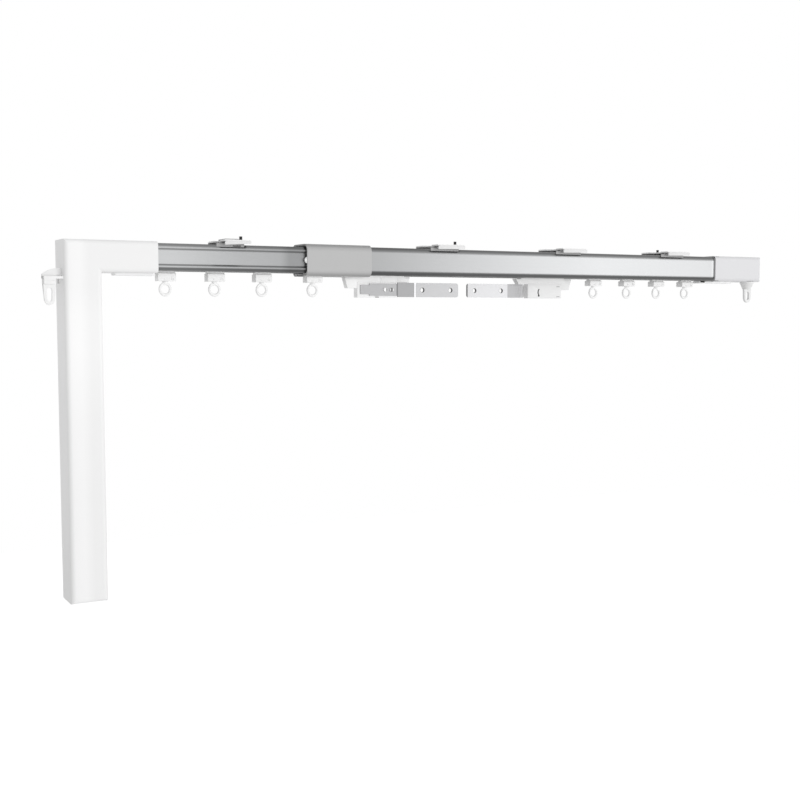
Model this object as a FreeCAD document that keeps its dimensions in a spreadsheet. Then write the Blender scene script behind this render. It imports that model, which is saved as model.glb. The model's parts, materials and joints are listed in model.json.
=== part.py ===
"""Motorised telescopic ceiling curtain track with two rails, brackets, gliders and two master carriers.

X runs along the rails towards the end box, -Y faces the room and Z is up. The origin is the ceiling
above the middle of the first bracket. Every size is a plain number in the sheet, in millimetres.
"""
import FreeCAD, Part
import os
import re
import Sketcher

SIZES = [
    ("ceiling_gap", 4.3, "ceiling to the top of the outer rail"),
    ("outer_width", 32, "outer rail, front to back"),
    ("outer_height", 27.4, "outer rail, top to bottom"),
    ("outer_wall", 1.2, "outer rail wall"),
    ("outer_round", 4.7, "outer rail corner radius"),
    ("outer_length", 514.2, "outer rail length"),
    ("slot_width", 12, "running slot under every rail"),
    ("slide_play", 0.3, "play between the two rails"),
    ("inner_wall", 1.2, "inner rail wall"),
    ("inner_bevel", 3.1, "inner rail corner bevel"),
    ("inner_land", 1.3, "flat beside each bevel of the inner rail"),
    ("web_slope", 1.8, "height of the slope into the recessed web"),
    ("web_recess", 1.2, "depth of the recessed web"),
    ("inner_length", 350, "inner rail length"),
    ("sleeve_at", 70.8, "origin to the left end of the joint sleeve"),
    ("sleeve_length", 68.1, "joint sleeve length"),
    ("sleeve_wall", 1.5, "joint sleeve wall"),
    ("sleeve_lead", 7, "sleeve end to the outer rail inside it"),
    ("gasket_inset", 0.5, "sleeve end to the gasket inside it"),
    ("box_to_origin", 154.7, "drive end to the origin"),
    ("box_length", 81.9, "drive box length"),
    ("box_depth", 35, "drive box and end box, front to back"),
    ("box_rise", 0.8, "end box top above the rail top"),
    ("drive_drop", 0.2, "drive box top below the rail top"),
    ("box_drop", 0.7, "underside of the boxes below the rails"),
    ("box_round", 4, "front edge radius of the boxes"),
    ("cover_round", 2.5, "back edge radius of the rear cover"),
    ("column_width", 32.4, "motor column width"),
    ("column_height", 316, "motor column height with the box"),
    ("casing_wall", 2, "casing wall"),
    ("fit_gap", 0.15, "clearance of a rail in its box"),
    ("part_gap", 0.1, "clearance of a piece in its seat"),
    ("run_gap", 0.05, "running clearance of a shaft, all round"),
    ("rail_setback", 40.7, "drive end to the inner rail inside the box"),
    ("strip_height", 2.3, "cover strip under a box"),
    ("strip_width", 12, "cover strip, front to back"),
    ("strip_round", 1.5, "cover strip corner radius"),
    ("drive_strip_at", 45.7, "drive end to its cover strip"),
    ("drive_strip_length", 36.1, "drive cover strip length"),
    ("end_length", 72.7, "end box length"),
    ("end_grip", 7.2, "length of outer rail inside the end box"),
    ("end_floor", 1.5, "end box floor"),
    ("end_top_wall", 1.5, "end box top wall beyond the rail"),
    ("end_strip_lead", 13.1, "end cover strip ahead of the end box"),
    ("end_strip_length", 50, "end cover strip length"),
    ("pulley_at", 16.2, "drive end to the drive pulley axis"),
    ("pulley_rim", 6.5, "drive pulley rim radius"),
    ("pulley_flange", 8.5, "drive pulley flange radius"),
    ("flange_thick", 1.5, "pulley flange thickness"),
    ("shaft_radius", 3, "output shaft radius"),
    ("shaft_depth", 26, "output shaft below the pulley"),
    ("shaft_reach", 3, "output shaft above the pulley"),
    ("boss_radius", 6, "top bearing boss radius"),
    ("belt_thick", 1.3, "belt thickness"),
    ("belt_width", 6, "belt width"),
    ("belt_middle", 15, "ceiling to the middle of the belt"),
    ("belt_gap", 0.1, "belt to pulley rim"),
    ("idler_rim", 7.9, "idler pulley rim radius"),
    ("idler_flange", 10, "idler pulley flange radius"),
    ("idler_axle", 2.5, "idler axle radius"),
    ("idler_setback", 23.5, "end box end to the idler axis"),
    ("belt_overlap", 112, "idler side of the belt past the inner rail's end"),
    ("gearbox_top", 33, "ceiling to the gearbox collar"),
    ("gearbox_collar", 7, "gearbox collar height"),
    ("gearbox_round", 9, "gearbox collar radius"),
    ("gearbox_height", 50, "gearbox block height"),
    ("motor_radius", 13, "motor radius"),
    ("motor_height", 125, "motor height"),
    ("board_gap", 10, "motor to the control board"),
    ("board_lift", 18.5, "bottom cap to the control board"),
    ("board_thick", 1.6, "control board thickness"),
    ("board_back", 6, "control board behind the middle"),
    ("cap_height", 8, "bottom cap height"),
    ("cap_recess", 0.6, "bottom cap up inside the column"),
    ("inlet_width", 9, "power inlet width"),
    ("inlet_depth", 4.5, "power inlet, front to back"),
    ("inlet_height", 6, "power inlet depth into the cap"),
    ("narrow_bracket", 25, "first bracket along the rail"),
    ("wide_bracket", 31, "other brackets along the rail"),
    ("bracket_reach", 7, "bracket beyond the outer rail, front and back"),
    ("bracket_thick", 1.6, "bracket plate thickness"),
    ("bracket_waist", 14, "bracket waist along the rail"),
    ("pad_depth", 14, "bracket pad, front to back"),
    ("bracket_slot", 22, "bracket slot length"),
    ("slot_breadth", 4.2, "bracket slot breadth"),
    ("slot_inset", 6.5, "bracket edge to its slot's middle"),
    ("lip_thick", 1.3, "latch lip thickness"),
    ("lip_drop", 0.9, "latch lip below the rail top"),
    ("latch_arm", 1.6, "latch arm width"),
    ("latch_inset", 6, "left latch arm from the end of its lip"),
    ("latch_arm_length", 13.5, "latch arm length"),
    ("latch_arm_thick", 1.2, "latch arm thickness"),
    ("rib_width", 8, "saddle rib along the rail"),
    ("rib_thick", 2, "saddle rib, front to back"),
    ("rib_spread", 10, "saddle rib to the middle"),
    ("screw_radius", 1.4, "ceiling screw shank radius"),
    ("screw_head", 3.5, "ceiling screw head radius"),
    ("head_thick", 1.6, "ceiling screw head thickness"),
    ("screw_rise", 3.3, "ceiling screw above its plate"),
    ("shim_length", 14, "packing shim along the rail"),
    ("shim_depth", 20, "packing shim, front to back"),
    ("bracket_two", 226.5, "origin to the second bracket"),
    ("bracket_three", 204.6, "third bracket to the end box"),
    ("bracket_four", 59.8, "fourth bracket to the end box"),
    ("screw_one", 4.8, "screw offset along the first bracket"),
    ("screw_two", 7.3, "screw offset along the second bracket"),
    ("screw_four", 2.7, "screw offset along the fourth bracket"),
    ("glider_length", 17, "glider body along the rail"),
    ("glider_lead", 0.8, "eye to the middle of the glider body"),
    ("glider_depth", 10, "glider body, front to back"),
    ("glider_low", 39.1, "ceiling to the glider's underside"),
    ("glider_neck", 4, "glider neck, front to back"),
    ("glider_drop", 1.4, "rail underside to the glider's shoulder"),
    ("glider_slope", 0.6, "height of the glider's sloping shoulder"),
    ("head_width", 16, "glider head, front to back"),
    ("head_height", 1.8, "glider head height"),
    ("head_lift", 0.1, "glider head above the rail floor"),
    ("pin_radius", 1.5, "eye pin radius"),
    ("pin_length", 5, "eye pin length"),
    ("ring_radius", 6, "eye ring outer radius"),
    ("ring_band", 2.6, "eye ring band"),
    ("ring_thick", 2.5, "eye ring thickness"),
    ("neck_drop", 1.8, "glider underside to the top of the ring"),
    ("glider_a", -61.7, "origin to glider 1"),
    ("glider_b", -15.1, "origin to glider 2"),
    ("glider_c", 31.4, "origin to glider 3"),
    ("glider_d", 83.6, "origin to glider 4"),
    ("glider_e", 162.8, "glider 5 to the end box"),
    ("glider_f", 116, "glider 6 to the end box"),
    ("glider_g", 73.1, "glider 7 to the end box"),
    ("glider_h", 30.6, "glider 8 to the end box"),
    ("left_tab", 116.2, "origin to the tab tip of the left master"),
    ("right_tab", 195.4, "tab tip of the right master to the end box"),
    ("carriage_length", 72.5, "master carriage length"),
    ("carriage_depth", 7, "master carriage, front to back"),
    ("carriage_drop", 0.6, "outer rail to the carriage"),
    ("carriage_height", 5.6, "carriage height"),
    ("tab_height", 11.6, "tab height at the outer end"),
    ("tab_rake", 3.5, "slant of the tab's end"),
    ("left_rake", 0.5, "slant of the left carriage's inner end"),
    ("right_rake", 4, "slant of the right carriage's inner end"),
    ("block_at", 13.5, "tab tip to the lower block"),
    ("block_length", 43.9, "lower block length"),
    ("block_depth", 8, "lower block, front to back"),
    ("block_height", 15, "lower block height"),
    ("block_round", 1, "lower block corner radius"),
    ("truck_at", 10, "tab tip to the truck in the rail"),
    ("truck_length", 56, "truck length"),
    ("truck_depth", 12.4, "truck, front to back"),
    ("truck_top", 22, "ceiling to the truck's top"),
    ("truck_lift", 0.6, "truck above the rail floor"),
    ("neck_depth", 8, "master neck through the slot"),
    ("wheel_radius", 3.8, "wheel radius"),
    ("wheel_width", 4.2, "wheel width"),
    ("wheel_gap", 0.4, "truck to wheel"),
    ("axle_radius", 1.2, "wheel axle radius"),
    ("front_axle", 6, "truck end to the front axle"),
    ("rear_axle", 48, "truck end to the rear axle"),
    ("clamp_at", 30, "tab tip to the belt clamp"),
    ("clamp_length", 14, "belt clamp length"),
    ("clamp_thick", 3, "belt clamp thickness"),
    ("arm_thick", 1.2, "arm thickness"),
    ("arm_at", 16.7, "tab tip to the arm's tongue"),
    ("tongue_length", 10, "arm tongue length"),
    ("tongue_height", 9, "arm tongue height"),
    ("mount_plate", 41.3, "arm from its tongue's tip to the jog"),
    ("mount_height", 12, "arm height at the screws"),
    ("jog_length", 21.5, "arm jog along the rail"),
    ("jog_depth", 2.4, "arm jog towards the middle"),
    ("blade_length", 50.5, "arm blade length"),
    ("blade_height", 14.3, "arm blade height"),
    ("blade_round", 2.5, "arm blade corner radius"),
    ("arm_middle", 45.2, "ceiling to the middle of the arm"),
    ("hole_radius", 2.5, "arm hole radius"),
    ("hole_one", 8.2, "blade start to its first hole"),
    ("hole_two", 41.2, "blade start to its second hole"),
    ("rivet_radius", 1, "arm screw shank radius"),
    ("rivet_head", 1.9, "arm screw head radius"),
    ("rivet_thick", 1, "arm screw head thickness"),
    ("rivet_depth", 3, "arm screw in the block"),
    ("rivet_one", 43.7, "tab tip to the first arm screw"),
    ("rivet_two", 51, "tab tip to the second arm screw"),
    ("eye_wire", 3.1, "end eye wire thickness across the loop"),
    ("eye_width", 11, "end eye width"),
    ("eye_depth", 4, "end eye, front to back"),
    ("eye_offset", 8.1, "end eye plane behind the box front"),
    ("left_eye_drop", 17.8, "left eye loop height"),
    ("right_eye_drop", 15.9, "right eye loop height"),
    ("foot_length", 18.6, "left eye foot beyond the drive box"),
    ("foot_front", 3.7, "left eye foot behind the box front"),
    ("foot_depth", 14.3, "left eye foot, front to back"),
    ("foot_thick", 2.1, "left eye foot thickness"),
    ("foot_top", 36.2, "ceiling to the left eye foot"),
    ("fin_length", 16.8, "left eye fin beyond the drive box"),
    ("fin_height", 7.1, "left eye fin height"),
    ("fin_depth", 7, "left eye fin, front to back"),
    ("fin_tip", 1.8, "left eye fin height at its tip"),
    ("knuckle_length", 9.9, "left eye block along the rail"),
    ("knuckle_depth", 8.8, "left eye block, front to back"),
    ("knuckle_height", 4.7, "left eye block height"),
    ("knuckle_at", 11.3, "drive end to the left eye's middle"),
    ("collar_radius", 8, "right eye collar radius at the top"),
    ("collar_height", 8.5, "right eye collar height"),
    ("collar_tip", 5, "right eye collar radius at the bottom"),
    ("right_eye_setback", 14.8, "end box end to the right eye"),
    ("collar_flare", 1, "glider eye collar wider than its pin"),
    ("strip_lap", 1, "end cover strip over the edge of its opening"),
    ("tool_reach", 1, "reach of a cutting shape beyond what it cuts"),
]

doc = FreeCAD.newDocument("curtain_track")
sheet = doc.addObject("Spreadsheet::Sheet", "sizes")
for row, (alias, number, meaning) in enumerate(SIZES, start=1):
    sheet.set(f"A{row}", meaning)
    sheet.set(f"B{row}", str(number))
    sheet.setAlias(f"B{row}", alias)
doc.recompute()
ALIASES = {alias for alias, number, meaning in SIZES}
pieces = {}


def formula(text):
    """Point each size name in some plain arithmetic at its cell in the sheet."""
    def cell(word):
        return "sizes." + word.group() if word.group() in ALIASES else word.group()
    return re.sub(r"[a-z][a-z_]*", cell, str(text))


def amount(text):
    """Work out some plain arithmetic on size names as a number."""
    return float(sheet.evalExpression(formula(text)))


def place(item, along, across, up):
    for axis, text in zip("xyz", (along, across, up)):
        item.setExpression(f"Placement.Base.{axis}", formula(text))
    return item


def block(name, left, right, front, back, low, high):
    item = doc.addObject("Part::Box", name)
    item.setExpression("Length", formula(f"({right}) - ({left})"))
    item.setExpression("Width", formula(f"({back}) - ({front})"))
    item.setExpression("Height", formula(f"({high}) - ({low})"))
    return place(item, left, front, low)


TURNS = {
    "x": FreeCAD.Rotation(FreeCAD.Vector(0, 1, 0), 90),
    "y": FreeCAD.Rotation(FreeCAD.Vector(1, 0, 0), -90),
    "z": FreeCAD.Rotation(),
}


def rod(name, axis, radius, along, across, up, length):
    """A cylinder from its start point towards plus X, Y or Z."""
    item = doc.addObject("Part::Cylinder", name)
    item.Placement = FreeCAD.Placement(FreeCAD.Vector(), TURNS[axis])
    item.setExpression("Radius", formula(radius))
    item.setExpression("Height", formula(length))
    return place(item, along, across, up)


def join(name, items):
    item = doc.addObject("Part::MultiFuse", name)
    item.Shapes = items
    item.Refine = True
    return item


def cut(name, base, tools):
    item = doc.addObject("Part::Cut", name)
    item.Base = base
    item.Tool = tools[0] if len(tools) == 1 else join(name + "_tools", tools)
    item.Refine = True
    return item


def keep(name, item):
    """Record a finished sub-part under its own name."""
    item.Label = name
    pieces[name] = item


def new_body(name):
    return doc.addObject("PartDesign::Body", name)


def outline(body, name, plane, offset, corners):
    """A closed outline on one of the body's planes, with each corner tied to the sheet."""
    sketch = body.newObject("Sketcher::SketchObject", name)
    support = next(item for item in body.Origin.OriginFeatures if item.Role == plane)
    sketch.AttachmentSupport = [(support, "")]
    sketch.MapMode = "FlatFace"
    sketch.setExpression("AttachmentOffset.Base.z", formula(offset))
    points = [FreeCAD.Vector(amount(across), amount(up), 0) for across, up in corners]
    sides = [Part.LineSegment(start, end) for start, end in zip(points, points[1:] + points[:1])]
    sketch.addGeometry(sides, False)
    for index, (across, up) in enumerate(corners):
        following = (index + 1) % len(corners)
        sketch.addConstraint(Sketcher.Constraint("Coincident", index, 2, following, 1))
        for kind, text in (("DistanceX", across), ("DistanceY", up)):
            rule = Sketcher.Constraint(kind, -1, 1, index, 1, amount(text))
            number = sketch.addConstraint(rule)
            sketch.setExpression(f"Constraints[{number}]", formula(text))
    return sketch


def pad(body, name, sketch, length):
    item = body.newObject("PartDesign::Pad", name)
    item.Profile = sketch
    item.setExpression("Length", formula(length))
    body.Tip = item
    doc.recompute()
    return item


def pocket(body, name, sketch, length):
    """Cut from the sketch along its normal."""
    item = body.newObject("PartDesign::Pocket", name)
    item.Profile = sketch
    item.Reversed = True
    item.setExpression("Length", formula(length))
    body.Tip = item
    doc.recompute()
    return item


def rounded(body, name, base, radius, wanted):
    """Round the edges of a feature that a test picks out."""
    names = [f"Edge{index}" for index, edge in enumerate(base.Shape.Edges, start=1) if wanted(edge)]
    item = body.newObject("PartDesign::Fillet", name)
    item.Base = (base, names)
    item.setExpression("Radius", formula(radius))
    body.Tip = item
    doc.recompute()
    return item


def round_solid(name, base, radius, wanted):
    """Round edges of a solid made from primitives."""
    doc.recompute()
    size = amount(radius)
    edges = [(index, size, size) for index, edge in enumerate(base.Shape.Edges, start=1) if wanted(edge)]
    item = doc.addObject("Part::Fillet", name)
    item.Base = base
    item.Edges = edges
    return item


def runs_along(edge, axis):
    """Whether an edge is a straight line along X, Y or Z."""
    if not isinstance(edge.Curve, Part.Line):
        return False
    step = edge.Vertexes[-1].Point - edge.Vertexes[0].Point
    return abs(getattr(step, axis)) > 0.999 * step.Length


def near(value, text):
    return abs(value - amount(text)) < 0.01


def opposite(corners):
    return [(f"-({across})", up) for across, up in corners]


def channel(outside, inside):
    """A symmetric open profile from the right half of its outside and of its inside."""
    return outside + opposite(outside)[::-1] + opposite(inside) + inside[::-1]


OUTER_TOP = "(-ceiling_gap)"
OUTER_LOW = "(-ceiling_gap - outer_height)"
OUTER_HALF = "(outer_width / 2)"
CAVITY_TOP = f"({OUTER_TOP} - outer_wall)"
CAVITY_LOW = f"({OUTER_LOW} + outer_wall)"
CAVITY_HALF = f"({OUTER_HALF} - outer_wall)"
CAVITY_ROUND = "(outer_round - outer_wall)"
INNER_TOP = f"({CAVITY_TOP} - slide_play)"
INNER_LOW = f"({CAVITY_LOW} + slide_play)"
INNER_HALF = f"({CAVITY_HALF} - slide_play)"
INNER_FLOOR = f"({INNER_LOW} + inner_wall)"
SLOT_HALF = "(slot_width / 2)"
DRIVE_END = "(-box_to_origin)"
INNER_LEFT = f"({DRIVE_END} + rail_setback)"
INNER_RIGHT = f"({INNER_LEFT} + inner_length)"
OUTER_LEFT = "(sleeve_at + sleeve_lead)"
OUTER_RIGHT = f"({OUTER_LEFT} + outer_length)"
END_LEFT = f"({OUTER_RIGHT} - end_grip)"
END_RIGHT = f"({END_LEFT} + end_length)"
BOX_TOP = f"({OUTER_TOP} - drive_drop)"
END_TOP = f"({OUTER_TOP} + box_rise)"
BOX_HALF = "(box_depth / 2)"
BOX_LOW = f"({OUTER_LOW} - box_drop)"
COLUMN_LOW = f"({BOX_TOP} - column_height)"
COLUMN_RIGHT = f"({DRIVE_END} + column_width)"
SOCKET_HALF = f"({INNER_HALF} + fit_gap)"
SOCKET_TOP = f"({INNER_TOP} + fit_gap)"
SOCKET_LOW = f"({INNER_LOW} - fit_gap)"
PULLEY_X = f"({DRIVE_END} + pulley_at)"
BELT_LOW = "(-belt_middle - belt_width / 2)"
BELT_HIGH = "(-belt_middle + belt_width / 2)"
PULLEY_LOW = f"({BELT_LOW} - belt_gap - flange_thick)"
PULLEY_HIGH = f"({BELT_HIGH} + belt_gap + flange_thick)"
IDLER_X = f"({END_RIGHT} - idler_setback)"
BRACKET_HALF = f"({OUTER_HALF} + bracket_reach)"
THIRD_BRACKET = f"({END_LEFT} - bracket_three)"
FOURTH_BRACKET = f"({END_LEFT} - bracket_four)"
ARM_LOW = "(-arm_middle - blade_height / 2)"


def make_inner_rail():
    """The narrow rail: bevelled corners, a recessed web on each side and a slot below."""
    low, high, half, wall = INNER_LOW, INNER_TOP, INNER_HALF, "inner_wall"
    step_low = f"({low} + inner_bevel + inner_land)"
    step_high = f"({high} - inner_bevel - inner_land)"
    web_low = f"({step_low} + web_slope)"
    web_high = f"({step_high} - web_slope)"
    web = f"({half} - web_recess)"
    outside = [
        (SLOT_HALF, low), (f"{half} - inner_bevel", low), (half, f"{low} + inner_bevel"), (half, step_low),
        (web, web_low), (web, web_high), (half, step_high), (half, f"{high} - inner_bevel"),
        (f"{half} - inner_bevel", high),
    ]
    inside = [
        (SLOT_HALF, f"{low} + {wall}"), (f"{half} - inner_bevel", f"{low} + {wall}"),
        (f"{half} - {wall}", f"{low} + inner_bevel"), (f"{half} - {wall}", step_low),
        (f"{web} - {wall}", web_low), (f"{web} - {wall}", web_high),
        (f"{half} - {wall}", step_high), (f"{half} - {wall}", f"{high} - inner_bevel"),
        (f"{half} - inner_bevel", f"{high} - {wall}"),
    ]
    body = new_body("inner_rail_body")
    sketch = outline(body, "inner_rail_profile", "YZ_Plane", INNER_LEFT, channel(outside, inside))
    pad(body, "inner_rail_pad", sketch, "inner_length")
    keep("inner_rail", body)


def rounded_channel(name, left, length, half, high, low, wall, outer_radius, inner_radius):
    """A box channel with a slot below and rounded corners inside and out."""
    outside = [(SLOT_HALF, low), (half, low), (half, high)]
    inside = [
        (SLOT_HALF, f"{low} + {wall}"), (f"{half} - {wall}", f"{low} + {wall}"),
        (f"{half} - {wall}", f"{high} - {wall}"),
    ]
    body = new_body(name + "_body")
    sketch = outline(body, name + "_profile", "YZ_Plane", left, channel(outside, inside))
    solid = pad(body, name + "_pad", sketch, length)
    reach = amount(half)
    inner_reach = amount(f"{half} - {wall}")

    def corner(edge, distance):
        return runs_along(edge, "x") and abs(abs(edge.Vertexes[0].Point.y) - distance) < 0.01

    solid = rounded(body, name + "_outside", solid, outer_radius, lambda edge: corner(edge, reach))
    rounded(body, name + "_inside", solid, inner_radius, lambda edge: corner(edge, inner_reach)
            and edge.Length > 0.9 * amount(length))
    return body


def make_outer_rail():
    body = rounded_channel("outer_rail", OUTER_LEFT, "outer_length", OUTER_HALF, OUTER_TOP, OUTER_LOW,
                           "outer_wall", "outer_round", CAVITY_ROUND)
    keep("outer_rail", body)


def make_sleeve():
    """The sleeve is fixed on the outer rail and closes its mouth with a gasket."""
    wall = "sleeve_wall"
    body = rounded_channel("joint_sleeve", "sleeve_at", "sleeve_length", f"({OUTER_HALF} + {wall})",
                           f"({OUTER_TOP} + {wall})", f"({OUTER_LOW} - {wall})", wall,
                           f"(outer_round + {wall})", "outer_round")
    keep("joint_sleeve", body)
    body = rounded_channel("sleeve_gasket", "sleeve_at + gasket_inset", "sleeve_lead - gasket_inset",
                           OUTER_HALF, OUTER_TOP, OUTER_LOW, "outer_wall", "outer_round", CAVITY_ROUND)
    keep("sleeve_gasket", body)


def drive_outline(left, right, inner_right, low, box_low, high):
    """The L shape of the drive end: a box along the rail over a column on its left."""
    return [(left, low), (inner_right, low), (inner_right, box_low), (right, box_low), (right, high),
            (left, high)]


def make_drive_casing():
    """Front, top and sides of the drive end, open at the back, at the rail and at the bottom."""
    right = f"({DRIVE_END} + box_length)"
    body = new_body("drive_casing_body")
    corners = drive_outline(DRIVE_END, right, COLUMN_RIGHT, COLUMN_LOW, BOX_LOW, BOX_TOP)
    sketch = outline(body, "casing_outline", "XZ_Plane", f"-{SOCKET_HALF}", corners)
    solid = pad(body, "casing_pad", sketch, f"{SOCKET_HALF} + {BOX_HALF}")

    def outer_edge(edge):
        points = [vertex.Point for vertex in edge.Vertexes]
        front = all(near(point.y, f"-{BOX_HALF}") for point in points)
        at_rail = all(near(point.x, right) for point in points)
        return front and not at_rail

    rounded(body, "casing_edges", solid, "box_round", outer_edge)
    left = f"({DRIVE_END} + casing_wall)"
    column_right = f"({COLUMN_RIGHT} - casing_wall)"
    column_low = f"({COLUMN_LOW} - tool_reach)"
    column = [(left, column_low), (column_right, column_low), (column_right, SOCKET_TOP), (left, SOCKET_TOP)]
    sketch = outline(body, "column_hollow", "XZ_Plane", f"-{SOCKET_HALF}", column)
    pocket(body, "column_pocket", sketch, f"{SOCKET_HALF} + {BOX_HALF} - casing_wall")
    mouth = f"({right} + tool_reach)"
    socket = [(left, SOCKET_LOW), (mouth, SOCKET_LOW), (mouth, SOCKET_TOP), (left, SOCKET_TOP)]
    sketch = outline(body, "rail_hollow", "XZ_Plane", f"-{SOCKET_HALF}", socket)
    pocket(body, "rail_pocket", sketch, f"2 * {SOCKET_HALF}")
    boss = rod("top_boss", "z", "boss_radius", PULLEY_X, "0", f"{PULLEY_HIGH} + part_gap",
               f"{SOCKET_TOP} - {PULLEY_HIGH} - part_gap")
    bore = rod("top_bore", "z", "shaft_radius + run_gap", PULLEY_X, "0", PULLEY_HIGH,
               "shaft_reach + part_gap")
    keep("drive_casing", cut("casing_bored", join("casing_with_boss", [body, boss]), [bore]))


def make_rear_cover():
    """The L plate that closes the drive end behind the rail and the motor."""
    body = new_body("rear_cover_body")
    corners = drive_outline(DRIVE_END, f"{DRIVE_END} + box_length", COLUMN_RIGHT, COLUMN_LOW, BOX_LOW,
                            BOX_TOP)
    sketch = outline(body, "cover_outline", "XZ_Plane", f"-{BOX_HALF}", corners)
    solid = pad(body, "cover_pad", sketch, f"{BOX_HALF} - {SOCKET_HALF}")
    rounded(body, "cover_edges", solid, "cover_round",
            lambda edge: all(near(vertex.Point.y, BOX_HALF) for vertex in edge.Vertexes))
    keep("rear_cover", body)


def make_drive_inside():
    """Gearbox, motor, control board and bottom cap, one under the other in the column."""
    left = f"({DRIVE_END} + casing_wall + part_gap)"
    right = f"({COLUMN_RIGHT} - casing_wall - part_gap)"
    front = f"(-{BOX_HALF} + casing_wall + part_gap)"
    back = f"({SOCKET_HALF} - part_gap)"
    gear_high = "(-gearbox_top - gearbox_collar)"
    gear_low = f"({gear_high} - gearbox_height)"
    shell = block("gearbox_block", left, right, front, back, gear_low, gear_high)
    collar = rod("gearbox_neck", "z", "gearbox_round", PULLEY_X, "0", gear_high, "gearbox_collar")
    bore = rod("gearbox_bore", "z", "shaft_radius + run_gap", PULLEY_X, "0",
               f"{PULLEY_LOW} - shaft_depth - part_gap", "gearbox_height")
    keep("gearbox", cut("gearbox_bored", join("gearbox_solid", [shell, collar]), [bore]))
    motor_low = f"({gear_low} - motor_height)"
    keep("motor_can", rod("motor_can", "z", "motor_radius", PULLEY_X, "0", motor_low, "motor_height"))
    cap_low = f"({COLUMN_LOW} + cap_recess)"
    board_low = f"({cap_low} + cap_height + board_lift)"
    keep("control_board", block("control_board", left, right, "board_back", "board_back + board_thick",
                                board_low, f"{motor_low} - board_gap"))
    cap = block("cap_block", left, right, front, back, cap_low, f"{cap_low} + cap_height")
    inlet = block("inlet_hole", f"{PULLEY_X} - inlet_width / 2", f"{PULLEY_X} + inlet_width / 2",
                  "-inlet_depth / 2", "inlet_depth / 2", f"{cap_low} - tool_reach",
                  f"{cap_low} + inlet_height")
    keep("bottom_cap", cut("bottom_cap_cut", cap, [inlet]))


def make_pulley(name, along, rim, flange, bore):
    """A pulley rim between two flanges."""
    height = f"({PULLEY_HIGH} - {PULLEY_LOW})"
    core = rod(name + "_rim", "z", rim, along, "0", PULLEY_LOW, height)
    bottom = rod(name + "_low_flange", "z", flange, along, "0", PULLEY_LOW, "flange_thick")
    top = rod(name + "_top_flange", "z", flange, along, "0", f"{PULLEY_HIGH} - flange_thick",
              "flange_thick")
    hole = rod(name + "_hole", "z", bore, along, "0", f"{PULLEY_LOW} - tool_reach",
               f"{height} + 2 * tool_reach")
    keep(name, cut(name + "_cut", join(name + "_solid", [core, bottom, top]), [hole]))


def make_drive_train():
    make_pulley("drive_pulley", PULLEY_X, "pulley_rim", "pulley_flange", "shaft_radius")
    low = f"({PULLEY_LOW} - shaft_depth)"
    keep("output_shaft", rod("output_shaft", "z", "shaft_radius", PULLEY_X, "0", low,
                             f"{PULLEY_HIGH} + shaft_reach - {low}"))
    make_pulley("idler_pulley", IDLER_X, "idler_rim", "idler_flange", "idler_axle + run_gap")
    floor = f"({BOX_LOW} + end_floor)"
    ceiling = f"({END_TOP} - end_top_wall)"
    keep("idler_axle", rod("idler_axle", "z", "idler_axle", IDLER_X, "0", floor, f"{ceiling} - {floor}"))


def belt_loop(name, centre, radius, far, towards):
    """Half a turn of flat belt round a pulley with its two runs out to the far end."""
    solids = []
    height = "belt_width"
    for layer, half in (("outside", f"({radius} + belt_thick)"), ("inside", radius)):
        spare = "0" if layer == "outside" else str(towards)
        turn = rod(f"{name}_{layer}_turn", "z", half, centre, "0", BELT_LOW, height)
        ends = [centre, f"{far} + {spare}"] if towards > 0 else [f"{far} + {spare}", centre]
        runs = block(f"{name}_{layer}_runs", ends[0], ends[1], f"-{half}", half, BELT_LOW, BELT_HIGH)
        solids.append(join(f"{name}_{layer}", [turn, runs]))
    keep(name, cut(name + "_cut", solids[0], [solids[1]]))


def make_belts():
    belt_loop("belt_drive_side", PULLEY_X, "(pulley_rim + belt_gap)", INNER_RIGHT, 1)
    belt_loop("belt_idler_side", IDLER_X, "(idler_rim + belt_gap)", f"({INNER_RIGHT} - belt_overlap)", -1)


def make_end_box():
    """The cap on the outer rail: open towards the rail, with the idler beyond the rail's end."""
    body = new_body("end_box_body")
    corners = [(END_LEFT, BOX_LOW), (END_RIGHT, BOX_LOW), (END_RIGHT, END_TOP), (END_LEFT, END_TOP)]
    sketch = outline(body, "end_outline", "XZ_Plane", f"-{BOX_HALF}", corners)
    solid = pad(body, "end_pad", sketch, "box_depth")

    def outer_edge(edge):
        points = [vertex.Point for vertex in edge.Vertexes]
        front = all(near(point.y, f"-{BOX_HALF}") for point in points)
        at_rail = all(near(point.x, END_LEFT) for point in points)
        return front and not at_rail

    rounded(body, "end_edges", solid, "box_round", outer_edge)
    half = f"({OUTER_HALF} + fit_gap)"
    mouth = block("end_mouth", f"{END_LEFT} - tool_reach", f"{OUTER_RIGHT} + part_gap", f"-{half}", half,
                  f"{BOX_LOW} - tool_reach", f"{OUTER_TOP} + fit_gap")
    strip_right = f"({END_LEFT} - end_strip_lead + end_strip_length)"
    bay_half = "(strip_width / 2 - strip_lap)"
    bay = block("end_bay", OUTER_RIGHT, strip_right, f"-{bay_half}", bay_half,
                f"{BOX_LOW} - tool_reach", f"{END_TOP} - end_top_wall")
    room = block("end_room", OUTER_RIGHT, f"{END_RIGHT} - casing_wall", f"-{BOX_HALF} + casing_wall",
                 f"{BOX_HALF} - casing_wall", f"{BOX_LOW} + end_floor", f"{END_TOP} - end_top_wall")
    keep("end_box", cut("end_box_cut", body, [mouth, bay, room]))


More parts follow.
